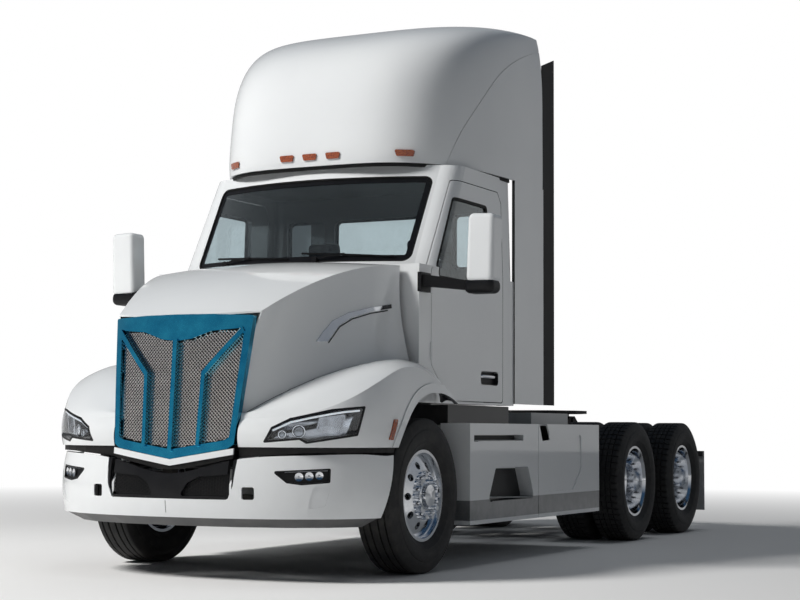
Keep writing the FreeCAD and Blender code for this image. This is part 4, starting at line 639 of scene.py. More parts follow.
for side, sign in SIDES.items():
    node = f"tyre_front_{side}"
    shape = Shape()
    tyre(shape, middle_of(node), STEER_GROOVES, 120, [(0.0, False)], 0.0)
    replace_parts(shape.make(f"rib_tyre_{side}", tyre_black, body_with(node), 50.0), node)
    for place in ("mid", "rear"):
        node = f"tyres_{place}_{side}"
        hub = middle_of(node)
        shape = Shape()
        for out in DUAL_CENTRES:
            tyre(shape, Vector((sign * out, hub.y, hub.z)), DRIVE_GROOVES, 56, BLOCK_CUTS, 0.22)
        made = shape.make(f"block_tyres_{place}_{side}", tyre_black, body_with(node), 50.0)
        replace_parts(made, node)

# %% [markdown]
# ## Feeling for a surface
# Pieces that lie on glass or panels have to follow curves that only the CAD model knows. A ray shot at a
# CAD mesh gives the place where it lands, so any drawing on a flat plane can be laid on the real skin.
# The edge of a pane is found from the mesh too, as the outline of its points seen from outside.

# %% Rays, outlines and strips
FAR = 8.0


def skin_of(*nodes, keep=None):
    """A search tree of the surfaces of CAD nodes, or of those faces whose corners are kept."""
    spots, faces = [], []
    for node in nodes:
        mesh = frame["nodes"][node].data
        first = len(spots)
        spots += [vertex.co.copy() for vertex in mesh.vertices]
        for face in mesh.polygons:
            if keep is None or keep(mesh.vertices[face.vertices[0]].co):
                faces.append([first + number for number in face.vertices])
    return BVHTree.FromPolygons(spots, faces)


def landing(tree, flat, plane, out, lift=0.0):
    """The point where a ray from outside lands, moved outwards by lift."""
    start = Vector((0, 0, 0))
    start[plane[0]], start[plane[1]] = flat
    start += Vector(out) * FAR
    spot = tree.ray_cast(start, -Vector(out))[0]
    return None if spot is None else spot + Vector(out) * lift


def hull_of(spots):
    """The convex outline of points on a plane, anticlockwise."""
    spots = sorted(set(spots))
    halves = []
    for line in (spots, spots[::-1]):
        chain = []
        for spot in line:
            while len(chain) > 1 and ((chain[-1][0] - chain[-2][0]) * (spot[1] - chain[-2][1])
                                      <= (chain[-1][1] - chain[-2][1]) * (spot[0] - chain[-2][0])):
                chain.pop()
            chain.append(spot)
        halves += chain[:-1]
    return halves


def evenly(outline, gap):
    """The same closed outline with a point about every gap."""
    spots = []
    for first, last in zip(outline, outline[1:] + outline[:1]):
        span = math.dist(first, last)
        count = max(1, round(span / gap))
        spots += [tuple(a + (b - a) * k / count for a, b in zip(first, last))
                  for k in range(count)]
    return spots


def inward(outline, distance):
    """An anticlockwise outline drawn in by a distance."""
    moved = []
    for before, spot, after in zip(outline[-1:] + outline[:-1], outline, outline[1:] + outline[:1]):
        along = Vector((after[0] - before[0], after[1] - before[1])).normalized()
        moved.append((spot[0] - along.y * distance, spot[1] + along.x * distance))
    return moved


def pane_outline(node, plane, keep):
    """The outline of a node or of its kept points, seen along the axis that the plane leaves out."""
    spots = [vertex.co for vertex in frame["nodes"][node].data.vertices
             if keep is None or keep(vertex.co)]
    return hull_of([(round(s[plane[0]], 4), round(s[plane[1]], 4)) for s in spots])


def edging(shape, node, plane, out, keep, start, wide, low, high, gap=0.03):
    """A strip along a pane's edge, from start inwards, between two heights over the pane."""
    tree = skin_of(node, keep=keep)
    outline = evenly(pane_outline(node, plane, keep), gap)
    outer, inner = inward(outline, start), inward(outline, start + wide)
    well_on = inward(outline, max(start, 0.004))
    spots = []
    for a, b, near in zip(outer, inner, well_on):
        first, second = landing(tree, near, plane, out), landing(tree, b, plane, out)
        if first is None and second is None:
            continue
        first, second = first or second.copy(), second or first.copy()
        first[plane[0]], first[plane[1]] = a
        second[plane[0]], second[plane[1]] = b
        for base, height in ((first, high), (second, high), (second, low), (first, low)):
            spots.append(base + Vector(out) * height)
    return shape.add(spots, ring_faces(len(spots) // 4, 4, True, True))


XZ, YZ = (0, 2), (1, 2)
print("rays, outlines and strips are ready")

# %% [markdown]
# ## Woven wire in the grille
# The grille's screen is woven like cloth: two sets of wires cross at right angles and pass over and under
# by turns. An image of wire mesh would look flat, and a boolean would be slow. Each wire is a short
# four-sided bar from crossing to crossing, lifted at one and lowered at the next, and it starts and ends
# where a ray no longer meets the screen of the CAD model, which it replaces.

# %% The grille's wire screen
WIRE_PITCH = 0.0165
WIRE_RADIUS = 0.0028
WIRE_FLAT = 0.42


def wire_screen():
    tree = skin_of("grille_mesh")
    low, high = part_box("grille_mesh")
    centre = (low + high) / 2
    reach = int((high.x - low.x + high.z - low.z) / 2 / WIRE_PITCH)
    shape = Shape()
    for lean in (1, -1):
        along = Vector((lean, 0, 1)).normalized() * WIRE_PITCH
        across = Vector((1, 0, -lean)).normalized() * WIRE_PITCH
        for row in range(-reach, reach + 1):
            run = []
            for step in range(-reach, reach + 2):
                spot = centre + across * row + along * step
                weave = lean * (1 if (row + step) % 2 else -1) * WIRE_RADIUS * 0.5
                hit = landing(tree, (spot.x, spot.z), XZ, (0, -1, 0), -0.003)
                if hit and step <= reach:
                    run.append(hit + Vector((0, weave, 0)))
                    continue
                if len(run) > 1:
                    shape.tube(run, WIRE_RADIUS, 4, flat=WIRE_FLAT, up=(0, 1, 0))
                run = []
    return shape.make("woven_screen", wire_metal, "hood", 60.0)


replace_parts(wire_screen(), "grille_mesh")

# %% [markdown]
# ## Seals and black borders of the windows
# Bonded glass has a black border fired onto it, which hides the glue and shades it from the sun, and a
# rubber seal closes the gap to the body. Both are thin strips that follow each pane's own edge. The
# windshield and the three rear panes are one CAD part, so each strip is told which points are its own.

# %% Window borders and seals
CAB_MIDDLE = front_axle.y + 1.0
REAR_PANES = ((-1.0, -0.515), (-0.515, 0.515), (0.515, 1.0))


def in_front(spot):
    """Whether a point of the cab's glass is on the windshield."""
    return spot.y < CAB_MIDDLE


def behind(start, end):
    """A test for points on the rear pane between two places across."""
    def on_pane(spot):
        return spot.y > CAB_MIDDLE and start < spot.x < end
    return on_pane


def window_trim():
    border = Shape()
    edging(border, "cab_glass", XZ, (0, -1, 0), in_front, 0.002, 0.045, 0.0002, 0.0012)
    border.make("windshield_border", black_plastic, "chassis")
    seals = Shape()
    edging(seals, "cab_glass", XZ, (0, -1, 0), in_front, -0.001, 0.014, 0.0015, 0.010)
    for start, end in REAR_PANES:
        edging(seals, "cab_glass", XZ, (0, 1, 0), behind(start, end), -0.001, 0.018, 0.0005, 0.010)
    seals.make("cab_window_seals", edge_rubber, "chassis")
    for side, sign in SIDES.items():
        seal = Shape()
        node = f"door_glass_{side}"
        edging(seal, node, YZ, (sign, 0, 0), None, -0.001, 0.020, 0.0005, 0.010)
        seal.make(f"door_window_seal_{side}", edge_rubber, body_with(node))


window_trim()

# %% [markdown]
# ## Seal under the roof fairing
# The fairing's foot stands a little over the roof, on a black rubber seal that keeps the wind out.
# The foot's outline comes from the lowest points of the CAD fairing, seen from above. Behind the cab the
# fairing is open and has no roof under it, so the seal ends at the roof's rear edge.

# %% The fairing's seal
SEAL_INSET, SEAL_WIDTH = 0.020, 0.014
SEAL_RISE, SEAL_DROP = 0.004, 0.024


def fairing_seal():
    foot_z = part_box("roof_fairing")[0].z
    top, bottom = foot_z + SEAL_RISE, foot_z - SEAL_DROP
    mesh = frame["nodes"]["roof_fairing"].data
    foot = [(round(v.co.x, 4), round(v.co.y, 4)) for v in mesh.vertices if v.co.z < top]
    outline = inward(evenly(hull_of(foot), 0.04), SEAL_INSET)
    roof_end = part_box("cab_shell")[1].y - 0.02
    spots = []
    for (x, y), (x_in, y_in) in zip(outline, inward(outline, SEAL_WIDTH)):
        if y < roof_end:
            spots += [(x, y, top), (x, y, bottom), (x_in, y_in, bottom), (x_in, y_in, top)]
    last = len(spots) - 4
    faces = ring_faces(len(spots) // 4, 4, False, True)
    faces += [(0, 1, 2, 3), (last + 3, last + 2, last + 1, last)]
    return Shape().add(spots, faces).make("fairing_seal", edge_rubber, "chassis")


fairing_seal()

# %% [markdown]
# ## Wipers
# Two blades park along the foot of the windshield. Each is a rubber lip in a black holder, carried by an
# arm from a pivot below the glass. All three are bars laid on the glass by rays.

# %% Windshield wipers


def wipers():
    glass = skin_of("cab_glass")
    shape = Shape()
    base = min(z for _, z in pane_outline("cab_glass", XZ, in_front)) + 0.035
    for start, end, pivot in ((0.76, 0.10, 0.22), (0.00, -0.66, -0.56)):
        ends = []
        for k in range(13):
            x = start + (end - start) * k / 12
            ends.append(landing(glass, (x, base + 0.035 * k / 12), XZ, (0, -1, 0), 0.010))
        shape.tube([spot for spot in ends if spot], 0.008, 6, flat=0.7, up=(0, -1, 0))
        lip = [spot + Vector((0, 0.006, -0.004)) for spot in ends if spot]
        shape.tube(lip, 0.0035, 4, up=(0, -1, 0))
        middle = ends[6] + Vector((0, -0.012, 0.004))
        root = landing(glass, (pivot, base - 0.012), XZ, (0, -1, 0), 0.020)
        knee = (root * 0.62 + middle * 0.38) + Vector((0, -0.010, 0.012))
        shape.tube([root, knee, middle], 0.009, 6, flat=0.55, up=(0, -1, 0))
        shape.tube([root + Vector((0, 0.014, 0)), root + Vector((0, -0.014, 0))], 0.020, 12)
    return shape.make("wipers", black_plastic, "chassis")


wipers()

# %% [markdown]
# ## Inside the headlamps
# Behind the clear cover sit a projector, which is a thick convex lens in a short tube, a smaller one
# beside it, and a bar that glows evenly in daylight. The tubes and the bowl are in the CAD model. The
# lamps are turned outwards, so everything here is drawn on a plane square to that direction first, and
# the same class serves the fog lamps later.

# %% Projector lenses and light bars
LAMP_RAY = 3.0


class LampPlane:
    """A plane square to the look of a left lamp: u across it, out along the look, and z up."""

    def __init__(self, degrees):
        self.turn = Matrix.Rotation(math.radians(degrees), 4, "Z")

    def spot(self, u, out, z):
        return self.turn @ Vector((u, -out, 0)) + Vector((0, front_axle.y, z))

    def depth(self, tree, u, z):
        """How far out a surface lies at a place, or nothing where there is none."""
        ahead = self.spot(0, -1.0, 0) - self.spot(0, 0.0, 0)
        hit, _, _, away = tree.ray_cast(self.spot(u, LAMP_RAY, z), ahead)
        return None if hit is None else LAMP_RAY - away

    def turned(self, u, z, profile, steps):
        """Points of a form turned about the look: pairs of radius and place out along it."""
        spots = []
        for step in range(steps):
            turn = 2 * math.pi * step / steps
            spots += [self.spot(u + radius * math.cos(turn), out, z + radius * math.sin(turn))
                      for radius, out in profile]
        return spots


def lit(name, colour, strength):
    """A lamp's light bar, which glows."""
    f = Finish(name)
    tone = f.blend(colour, (0.9, 0.95, 1.0), f.noise(40.0).ramp(0.3, 0.7))
    return f.surface(Base_Color=tone, Roughness=0.3, IOR=1.5, Coat_Weight=1.0,
                     Emission_Color=tone, Emission_Strength=strength)


light_bar = lit("light_bar", (0.86, 0.90, 0.94), 0.35)
headlamp = LampPlane(35.5)
PROJECTORS = ((0.040, 0.922, 0.040), (-0.062, 0.904, 0.025))
BAR_ROUTE = ((-0.118, 0.928), (-0.010, 0.978), (0.115, 1.006), (0.240, 1.030), (0.330, 1.044),
             (0.415, 1.052))


def headlamp_inside():
    tree = skin_of("lamp_reflectors", "headlamps")
    cover = skin_of("headlamp_lenses")
    lenses, bars, rings = Shape(), Shape(), Shape()
    rows, steps = 8, 28
    for u, z, radius in PROJECTORS:
        back = headlamp.depth(tree, u, z)
        front = headlamp.depth(cover, u, z) - 0.012
        bulge = min(radius * 0.45, front - back)
        bends = [row / (rows - 1) * math.pi / 2 for row in range(rows)]
        profile = [((radius - 0.007) * math.sin(bend) + 0.0002, back + bulge * math.cos(bend))
                   for bend in bends]
        faces = ring_faces(steps, rows)
        faces += [tuple(range(0, steps * rows, rows)), tuple(range(rows - 1, steps * rows, rows))]
        lenses.add(headlamp.turned(u, z, profile, steps), faces)
        rings.tube(headlamp.turned(u, z, [(radius - 0.003, back + 0.014)], 32), 0.0022, 6,
                   closed=True, up=(0.6, 0.8, 0))
    path = [headlamp.spot(u, headlamp.depth(cover, u, z) - 0.022, z) for u, z in BAR_ROUTE]
    bars.tube(path, 0.0065, 8)
    for shape, name, material in ((lenses, "projector_lenses", lamp_glass),
                                  (rings, "projector_rings", bright_metal),
                                  (bars, "daylight_bars", light_bar)):
        shape.mirror().make(name, material, "hood")


headlamp_inside()

# %% [markdown]
# ## Wheel nuts
# Ten nuts hold each wheel, and on a tidy truck each wears a bright cap. The ring of nuts is the same on
# every wheel, so the places come from one circle, and a ray finds how deep the wheel's face lies there.

# %% Caps on the wheel nuts
STUD_RADIUS = 0.1429
STUDS = 10
CAP = [(-0.004, 0.0165), (0.004, 0.0165), (0.006, 0.0145), (0.026, 0.0135), (0.033, 0.0105),
       (0.036, 0.004)]


def nut_caps(node):
    sign = 1 if node.endswith("left") else -1
    tree = skin_of(node)
    centre = middle_of(node)
    shape = Shape()
    for number in range(STUDS):
        turn = 2 * math.pi * (number + 0.5) / STUDS
        place = (centre.y + STUD_RADIUS * math.cos(turn), centre.z + STUD_RADIUS * math.sin(turn))
        face = landing(tree, place, YZ, (sign, 0, 0))
        if face:
            shape.turned(CAP, face, 12, sign)
    shape.make("nut_caps_" + node, bright_metal, body_with(node))


for node in [n for n in frame["nodes"] if n.startswith(("wheel_front", "wheels_mid", "wheels_rear"))]:
    nut_caps(node)

# %% [markdown]
# ## The bumper's small parts
# The dark insert has two openings with a honeycomb that lets cooling air in. It is a set of short bars
# between the corners of hexagons, kept where both ends lie inside the opening's outline.

# %% Honeycomb in the bumper


def inside(outline, spot):
    """Whether a point of a plane lies within a closed outline."""
    hit = False
    for (x0, y0), (x1, y1) in zip(outline, outline[1:] + outline[:1]):
        if (y0 > spot[1]) != (y1 > spot[1]):
            if spot[0] < x0 + (x1 - x0) * (spot[1] - y0) / (y1 - y0):
                hit = not hit
    return hit


INSERT_WINDOW = [(0.102, 0.527), (0.154, 0.601), (0.234, 0.638), (0.434, 0.653), (0.439, 0.600),
                 (0.413, 0.528)]
CELL = 0.0125


def honeycomb():
    tree = skin_of("bumper_insert")
    shape = Shape()
    for column in range(60):
        for row in range(20):
            centre = (0.09 + column * CELL * 1.5,
                      0.515 + (row + 0.5 * (column % 2)) * CELL * math.sqrt(3))
            corners = [(centre[0] + CELL * math.cos(math.pi * k / 3),
                        centre[1] + CELL * math.sin(math.pi * k / 3)) for k in range(4)]
            for first, last in zip(corners, corners[1:]):
                if inside(INSERT_WINDOW, first) and inside(INSERT_WINDOW, last):
                    ends = [landing(tree, spot, XZ, (0, -1, 0), 0.006) for spot in (first, last)]
                    if all(ends) and (ends[0] - ends[1]).length < 2 * CELL:
                        shape.tube(ends, 0.0019, 4, up=(0, -1, 0))
    shape.mirror().make("insert_honeycomb", edge_rubber, "chassis")


honeycomb()

# %% [markdown]
# ## Fog lamps
# Each fog lamp is a dark housing with three small bowls, which narrow to a bulb, and a bright strip
# above them. The bowls could be cut into the housing. They are thin turned shells set on its floor
# instead, because only their bright inside shows.

# %% Bowls, bulbs and strips of the fog lamps
fog_lamp = LampPlane(33.5)
FOG_BOWLS = ((0.090, 0.648, 0.026), (0.152, 0.652, 0.026), (0.214, 0.656, 0.024))


def fog_reflectors():
    tree = skin_of("fog_lamps")
    bowls, bulbs = Shape(), Shape()
    rows, steps, neck = 6, 24, 0.004
    for u, z, radius in FOG_BOWLS:
        back = fog_lamp.depth(tree, u, z)
        shares = [row / (rows - 1) for row in range(rows)]
        profile = [(neck + (radius - neck) * share, back + 0.002 + 0.010 * share ** 2)
                   for share in shares]
        bowls.add(fog_lamp.turned(u, z, profile, steps), ring_faces(steps, rows))
        bulbs.tube([fog_lamp.spot(u, back + out, z) for out in (0.001, 0.009)], 0.0055, 10)
    path = []
    for k in range(8):
        u, z = 0.005 + 0.26 * k / 7, 0.676 + 0.010 * k / 7
        back = fog_lamp.depth(tree, u, z)
        if back is not None:
            path.append(fog_lamp.spot(u, back + 0.005, z))
    bowls.tube(path, 0.0035, 6)
    bowls.mirror().make("fog_reflectors", bright_metal, "chassis")
    bulbs.mirror().make("fog_bulbs", lamp_glass, "chassis")


fog_reflectors()

# %% [markdown]
# ## Seam of the bumper
# The bumper is pressed in two halves, and the joint shows as a dark line down its nose. A thin bar laid
# on the skin by rays draws it.

# %% The bumper's seam


def bumper_seam():
    tree = skin_of("front_bumper")
    spots = [landing(tree, (0.0, z), XZ, (0, -1, 0), 0.0004) for z in (0.385, 0.42, 0.46, 0.495)]
    bar = Shape().tube([spot for spot in spots if spot], 0.0016, 4, up=(0, -1, 0))
    bar.make("bumper_seam", black_plastic, "chassis")


bumper_seam()

# %% [markdown]
# ## Air guide behind the screen, a plate of painted shade
# A black moulding behind the wire screen leads the air to the coolers. It is what makes a grille look
# dark, and this near-black plate is also painted shade for the hollow behind the wires. A thin plate
# that follows the screen is enough, because only its dark colour shows through the wires.

# %% The air guide


def air_guide_shade_plate():
    low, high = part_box("grille_mesh")
    tree = skin_of("grille_mesh")
    shape = Shape()
    columns, rows = 9, 7
    spots = []
    for i in range(columns):
        for j in range(rows):
            x = 1.02 * (low.x + (high.x - low.x) * i / (columns - 1))
            z = low.z - 0.01 + (high.z - low.z + 0.02) * j / (rows - 1)
            ahead = landing(tree, (x * 0.8, min(z, low.z + (high.z - low.z) * 0.8)), XZ, (0, -1, 0))
            spots.append(Vector((x * (0.92 + 0.08 * j / (rows - 1)), (ahead.y if ahead else high.y)
                                 + 0.045, z)))
    faces = ring_faces(columns, rows, False)
    count = len(spots)
    both = spots + [spot + Vector((0, 0.004, 0)) for spot in spots]
    shape.add(both, faces + [tuple(reversed([count + k for k in face])) for face in faces])
    return shape.make("air_guide_shade_plate", edge_rubber, "hood")


air_guide_shade_plate()

# %% [markdown]
# ## Doors and mirrors
# A door's handle lies in a pocket: a black liner keeps fingers off the paint, and a bright bar is
# pulled. Mirror glass is a flat plate on the rear of each head.

# %% Handles and mirror glass


def handles():
    for side, sign in SIDES.items():
        node = f"door_{side}"
        tree = skin_of(node)
        y0, y1, z0, z1 = front_axle.y + 1.105, front_axle.y + 1.415, 1.262, 1.362
        back = landing(tree, ((y0 + y1) / 2, (z0 + z1) / 2), YZ, (sign, 0, 0))
        skin = landing(tree, (y0 - 0.06, (z0 + z1) / 2), YZ, (sign, 0, 0))
        depth = abs(skin.x - back.x)
        liner = Shape()
        corners = [(y0 + 0.008, z0 + 0.008), (y1 - 0.008, z0 + 0.008), (y1 - 0.008, z1 - 0.008),
                   (y0 + 0.008, z1 - 0.008)]
        liner.panel([(back.x + sign * 0.0005, y, z) for y, z in corners], (sign * 0.002, 0, 0))
        wall = [(back.x + sign * 0.002, y, z) for y, z in corners]
        for first, last in zip(wall, wall[1:] + wall[:1]):
            liner.panel([first, last, Vector(last) + Vector((sign * (depth - 0.004), 0, 0)),
                         Vector(first) + Vector((sign * (depth - 0.004), 0, 0))],
                        Vector((0, 0.0015, 0)) if first[1] == last[1] else Vector((0, 0, 0.0015)))
        liner.make(f"handle_liner_{side}", black_plastic, body_with(node))
        bar = Shape()
        middle = (z0 + z1) / 2 + 0.012
        out = skin.x - sign * 0.008
        bar.tube([(back.x + sign * 0.003, y0 + 0.030, middle), (out - sign * 0.004, y0 + 0.040, middle),
                  (out, y0 + 0.055, middle), (out, y1 - 0.055, middle),
                  (out - sign * 0.004, y1 - 0.040, middle), (back.x + sign * 0.003, y1 - 0.030, middle)],
                 0.011, 10, flat=0.55, up=(sign, 0, 0))
        bar.make(f"handle_bar_{side}", bright_metal, body_with(node))


def mirror_glass():
    low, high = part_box("mirror_heads")
    shape = Shape()
    y = high.y
    corners = [(1.376, low.z + 0.030), (1.516, low.z + 0.028), (1.526, high.z - 0.032),
               (1.388, high.z - 0.026)]
    shape.panel([(x, y + 0.0005, z) for x, z in corners], (0, 0.0025, 0))
    return shape.mirror().make("mirror_glass", mirror_silver, "chassis")


mirror_silver = bright("mirror_silver", (0.86, 0.87, 0.88), (0.84, 0.85, 0.87), 0.01)
handles()
mirror_glass()

# %% [markdown]
# ## Steps and deck
# The driver climbs two steps in the side fairing. Their treads are ribbed aluminium, so that boots grip,
# and what lies behind them is black. Each tread is a plate with bars across it, set on the floor of
# the recess, and a ray finds how deep the recess is.

# %% Treads and liners of the steps
SKIRT_SIDE = 1.210
SLOT = [(0.655, 0.862), (1.505, 0.862), (1.505, 0.901), (0.655, 0.901)]
FOOTHOLD = [(0.850, 0.468), (1.730, 0.442), (1.634, 0.658), (1.010, 0.667)]
RIBS = 34
tread_metal = dull("tread_metal", (0.42, 0.43, 0.44), (0.30, 0.31, 0.32), 0.42, 240.0, 0.0004)


def steps():
    tree = skin_of("step_fairings")
    liner, treads = Shape(), Shape()
    for outline in (SLOT, FOOTHOLD):
        middle = (sum(y for y, _ in outline) / 4 + front_axle.y, sum(z for _, z in outline) / 4)
        back = landing(tree, middle, YZ, (1, 0, 0)).x
        liner.panel([(back + 0.0006, y + front_axle.y, z) for y, z in outline], (0.0016, 0, 0))
        inner, outer = back + 0.003, SKIRT_SIDE - 0.004
        if outer - inner < 0.012:
            continue
        start, end = (Vector((0, y + front_axle.y, z)) for y, z in outline[:2])
        corners = ((inner, start), (outer, start), (outer, end), (inner, end))
        treads.panel([(x, edge.y, edge.z) for x, edge in corners], (0, 0, 0.004))
        for k in range(1, RIBS):
            spot = start.lerp(end, k / RIBS) + Vector((0, 0, 0.005))
            treads.tube([(inner, spot.y, spot.z), (outer - 0.002, spot.y, spot.z)], 0.0028, 4)
        treads.tube([(outer, edge.y, edge.z + 0.003) for edge in (start, end)], 0.004, 6)
    liner.mirror().make("step_liners", black_plastic, "chassis")
    treads.mirror().make("step_treads", tread_metal, "chassis")


steps()
dress("deck_plate", tread_metal)

# %% [markdown]
# ## Seats
# Seat cushions are foam under tight cloth: a flat middle, fat bolsters at the sides, and seams that pull
# the cloth in. A cloth simulation around foam would do it, but such tight upholstery barely moves. Here
# a rounded block is shaped point by point: its edges are rounded, its middle is crowned and stitched
# seams dent it.

# %% Upholstered seats


def pad(name, half, centre, lean, seams):
    """A rounded cushion of half sizes x, y, z, turned back by lean, with seams across x."""
    across, around = 30, 36
    spots = []
    for i in range(across + 1):
        along = -1 + 2 * i / across
        end = max(0.0, 1 - abs(along) ** 9) ** 0.5
        seam = sum(math.exp(-((along - s) / 0.035) ** 2) for s in seams)
        bolster = 0.10 * math.exp(-((abs(along) - 0.80) / 0.16) ** 2)
        for k in range(around):
            turn = 2 * math.pi * k / around
            c, s = math.cos(turn), math.sin(turn)
            y = math.copysign(abs(c) ** 0.42, c) * (0.93 + 0.05 * end)
            z = math.copysign(abs(s) ** 0.5, s) * (0.80 - 0.10 * seam + bolster + 0.05 * (1 - y * y))
            spots.append(Vector((along * half[0] * 0.985, y * half[1] * (0.55 + 0.45 * end),
                                 z * half[2] * (0.30 + 0.70 * end))))
    turned = Matrix.Rotation(lean, 4, "X")
    spots = [turned @ spot + Vector(centre) for spot in spots]
    faces = ring_faces(across + 1, around, False, True)
    faces += [tuple(range(around)), tuple(reversed(range(across * around, (across + 1) * around)))]
    made = Shape().add(spots, faces).make(name, seat_cloth, "chassis", 60.0)
    return made


def seats():
    floor_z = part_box("seats")[0].z
    pedestal = Shape()
    for side, sign in SIDES.items():
        x, y = sign * 0.430, front_axle.y
        pedestal.block((x - 0.175, y + 0.955, floor_z), (x + 0.175, y + 1.325, floor_z + 0.255))
        pad(f"seat_cushion_{side}", (0.250, 0.245, 0.085), (x, y + 1.130, floor_z + 0.330), 0.0,
            (-0.62, 0.62))
        pad(f"seat_back_{side}", (0.240, 0.330, 0.080), (x, y + 1.385, floor_z + 0.715),
            math.radians(96.0), (-0.62, 0.62))
        pad(f"seat_head_{side}", (0.130, 0.085, 0.055), (x, y + 1.425, floor_z + 1.120),
            math.radians(96.0), ())
    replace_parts(pedestal.make("seat_pedestals", trim_plastic, "chassis"), "seats")


seats()

# %% [markdown]
# ## Line on the hood
# The bright slash on the hood's side has a shadow line under it, where the panel is pressed in. It is a
# thin bar that rays lay on the CAD model's own skin.

# %% Shadow line under the slash


def slash_line():
    tree = skin_of("hood_panel")
    line = [(-0.622, 1.486), (-0.582, 1.527), (-0.514, 1.596), (-0.406, 1.651), (-0.248, 1.695),
            (-0.045, 1.730)]
    for side, sign in SIDES.items():
        spots = []
        for (y0, z0), (y1, z1) in zip(line, line[1:]):
            for k in range(6):
                flat = (front_axle.y + y0 + (y1 - y0) * k / 6, z0 + (z1 - z0) * k / 6)
                spots.append(landing(tree, flat, YZ, (sign, 0, 0), 0.001))
        bar = Shape().tube([s for s in spots if s], 0.0045, 6, flat=0.6, up=(sign, 0, 0))
        bar.make(f"slash_shadow_{side}", black_plastic, "hood")


slash_line()

# %% [markdown]
# ## Bolts on the frame
# A truck's frame is bolted, not welded, so that it can be repaired. Rows of flanged bolts hold the
# suspension brackets to the rails. Each head is a turned form with six sides on a round flange, and a
# ray sets it on whatever lies outermost at its place.

# %% Frame bolts


def frame_bolts():
    tree = skin_of("frame_rails", "rear_suspension")
    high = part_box("frame_rails")[1]
    shape = Shape()
    rows = [axle + step for axle in (mid_axle.y, rear_axle.y)
            for step in (-0.42, -0.34, -0.26, 0.26, 0.34, 0.42)]
    rows += [front_axle.y + 2.3 + 0.12 * k for k in range(6)]
    for y in rows:
        for drop in (0.055, 0.150, 0.215):
            face = landing(tree, (y, high.z - drop), YZ, (1, 0, 0))
            if face and y < high.y - 0.03 and abs(face.x) < 0.60:
                shape.turned([(0.0, 0.017), (0.004, 0.017), (0.0042, 0.013)], face, 16)
                shape.turned([(0.004, 0.0135), (0.014, 0.0130), (0.016, 0.0105)], face, 6)
    return shape.mirror().make("frame_bolts", wire_metal, "chassis", 30.0)


frame_bolts()

# %% [markdown]
# ## Inside the cab
# Through the windshield the dashboard shows as a dark shelf with a hood over the instruments and a lower
# one over a screen. Both are set on the CAD dashboard, whose shape is right, at a height found by a ray.

# %% Instruments on the dashboard


def dashboard_parts():
    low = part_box("dashboard")[0]
    tree = skin_of("dashboard")
    dark, screen = Shape(), Shape()

    def on_top(x, y):
        return landing(tree, (x, y), (0, 1), (0, 0, 1)).z

    y = low.y + 0.26
    for x0, x1, tall in ((0.22, 0.64, 0.085), (-0.20, 0.12, 0.060)):
        top = on_top((x0 + x1) / 2, y)
        section = [(0.0, 0.0), (0.10, 0.0), (0.085, tall * 0.9), (0.055, tall), (0.02, tall * 0.7)]
        outline = [(x0, y - 0.05 + a, top + b - 0.002) for a, b in section]
        dark.panel(outline, (x1 - x0, 0, 0))
        face = [(x0 + 0.02, y + 0.052, top + 0.008), (x1 - 0.02, y + 0.052, top + 0.008),
                (x1 - 0.02, y + 0.040, top + tall * 0.82), (x0 + 0.02, y + 0.040, top + tall * 0.82)]
        screen.panel(face, (0, 0.002, 0))
    dark.make("dash_hoods", trim_plastic, "chassis")
    screen.make("dash_screens", black_plastic, "chassis")


dashboard_parts()


# %% [markdown]
# ## Camera
# The photograph was taken from the left front, a little under a metre up, with a long lens. The camera's
# place, heading and lens were worked out from points of the tractor whose real places are known, such
# as the axles and the cab's corners. The picture is 800 by 600.

# %% The photograph's camera
PICTURE_WIDTH = 800
FOCAL_PIXELS = 1713.9
SENSOR = 36.0
EYE = Vector((6.121, -10.133, 0.937)) + Vector((0, front_axle.y, 0))
HEADING, PITCH, ROLL = math.radians(-27.0), math.radians(4.33), math.radians(0.32)

camera = bpy.data.objects.new("camera", bpy.data.cameras.new("camera"))
bpy.context.scene.collection.objects.link(camera)
ahead = Vector((math.sin(HEADING) * math.cos(PITCH), math.cos(HEADING) * math.cos(PITCH),
                math.sin(PITCH)))
right = ahead.cross(Vector((0, 0, 1))).normalized()
up = right.cross(ahead)
tilted_right = math.cos(ROLL) * right + math.sin(ROLL) * up
tilted_up = math.cos(ROLL) * up - math.sin(ROLL) * right
facing = Matrix((tilted_right, tilted_up, -ahead)).transposed()
camera.matrix_world = Matrix.Translation(EYE) @ facing.to_4x4()
camera.data.sensor_width = SENSOR
camera.data.lens = FOCAL_PIXELS / PICTURE_WIDTH * SENSOR
camera.data.clip_end = 200.0
bpy.context.scene.camera = camera
print("camera at", [round(v, 2) for v in EYE], "lens", round(camera.data.lens, 1))

# %% [markdown]
# ## Floor
# The tractor stands on a plain pale floor. Near it the floor is an ordinary matt surface that takes its
# shadow. Further out, only for the camera, it turns into the same white as the background, so that no
# horizon shows.

# %% The floor


def floor_finish():
    f = Finish("floor_white")
    away = f.axis("X") * f.axis("X") + f.axis("Y") * f.axis("Y")
    edge = (away ** 0.5).ramp(5.0, 15.0)
    seen = f.node("LightPath", {}, {}).of("Is Camera Ray")
    matt = f.node("BsdfDiffuse", {}, {"Color": (0.86, 0.86, 0.86)})
    white = f.node("Emission", {}, {"Color": (1.0, 1.0, 1.0), "Strength": 1.0})
    both = f.node("MixShader", {}, {0: edge * seen, 1: matt, 2: white})
    f.node("OutputMaterial", {}, {"Surface": both})
    return f.material


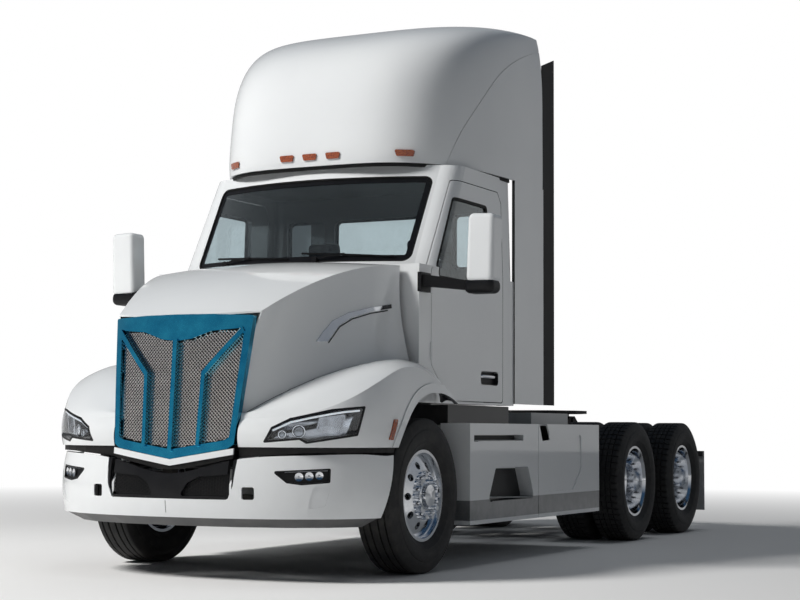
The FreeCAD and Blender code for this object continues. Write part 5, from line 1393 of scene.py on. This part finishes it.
floor_mesh = bpy.data.meshes.new("floor")
reach = 60.0
floor_mesh.from_pydata([(-reach, -reach, 0), (reach, -reach, 0), (reach, reach, 0),
                        (-reach, reach, 0)], [], [(0, 1, 2, 3)])
floor = bpy.data.objects.new("floor", floor_mesh)
floor_mesh.materials.append(floor_finish())
bpy.context.scene.collection.objects.link(floor)
print("floor", 2 * reach, "m wide")

# %% [markdown]
# ## Light
# One large soft light stands high on the tractor's right front, so the nose is bright and the left side
# lies in shade, as in the photograph. The world fills the shade with a cool, even light. The camera
# and the windows see it as plain white, and gloss mirrors it as white low down and dark blue higher up.

# %% Lights and world


def soft_light(name, place, aim, size, watts, colour):
    lamp = bpy.data.lights.new(name, "AREA")
    lamp.shape = "DISK"
    lamp.size = size
    lamp.energy = watts
    lamp.color = colour
    holder = bpy.data.objects.new(name, lamp)
    holder.location = place
    holder.visible_glossy = False
    holder.rotation_euler = (Vector(aim) - Vector(place)).to_track_quat("-Z", "Y").to_euler()
    bpy.context.scene.collection.objects.link(holder)
    return holder


soft_light("key", (-9.0, -13.0, 13.0), (0.0, -1.5, 1.5), 5.0, 3500.0, (1.0, 0.985, 0.96))
soft_light("side_fill", (14.0, -4.0, 7.0), (0.5, -0.5, 1.4), 6.0, 40.0, (0.86, 0.93, 1.0))
soft_light("top", (2.0, 4.0, 15.0), (0.0, 0.5, 2.0), 7.0, 260.0, (0.93, 0.97, 1.0))


def build_world():
    f = Finish("studio", bpy.data.worlds)
    bpy.context.scene.world = f.material
    path = f.node("LightPath", {}, {})
    straight = path.of("Is Camera Ray").sum("MAXIMUM", path.of("Is Camera Ray"),
                                            path.of("Is Transmission Ray"))
    mirrored = path.of("Is Glossy Ray")
    height = f.node("SeparateXYZ", {}, {0: f.node("TexCoord", {}, {}).of("Generated")}).of("Z")
    sky = f.blend((1.0, 1.0, 1.0), (0.05, 0.11, 0.20), height.ramp(0.05, 0.70))
    tone = f.blend((0.80, 0.88, 1.0), sky, mirrored)
    fill = f.node("Background", {}, {"Color": tone, "Strength": 0.07 + mirrored * 0.42})
    white = f.node("Background", {}, {"Color": (1.0, 1.0, 1.0), "Strength": 1.0})
    both = f.node("MixShader", {}, {0: straight, 1: fill, 2: white})
    f.node("OutputWorld", {}, {"Surface": both})


build_world()
scene = bpy.context.scene
scene.view_settings.view_transform = "Standard"
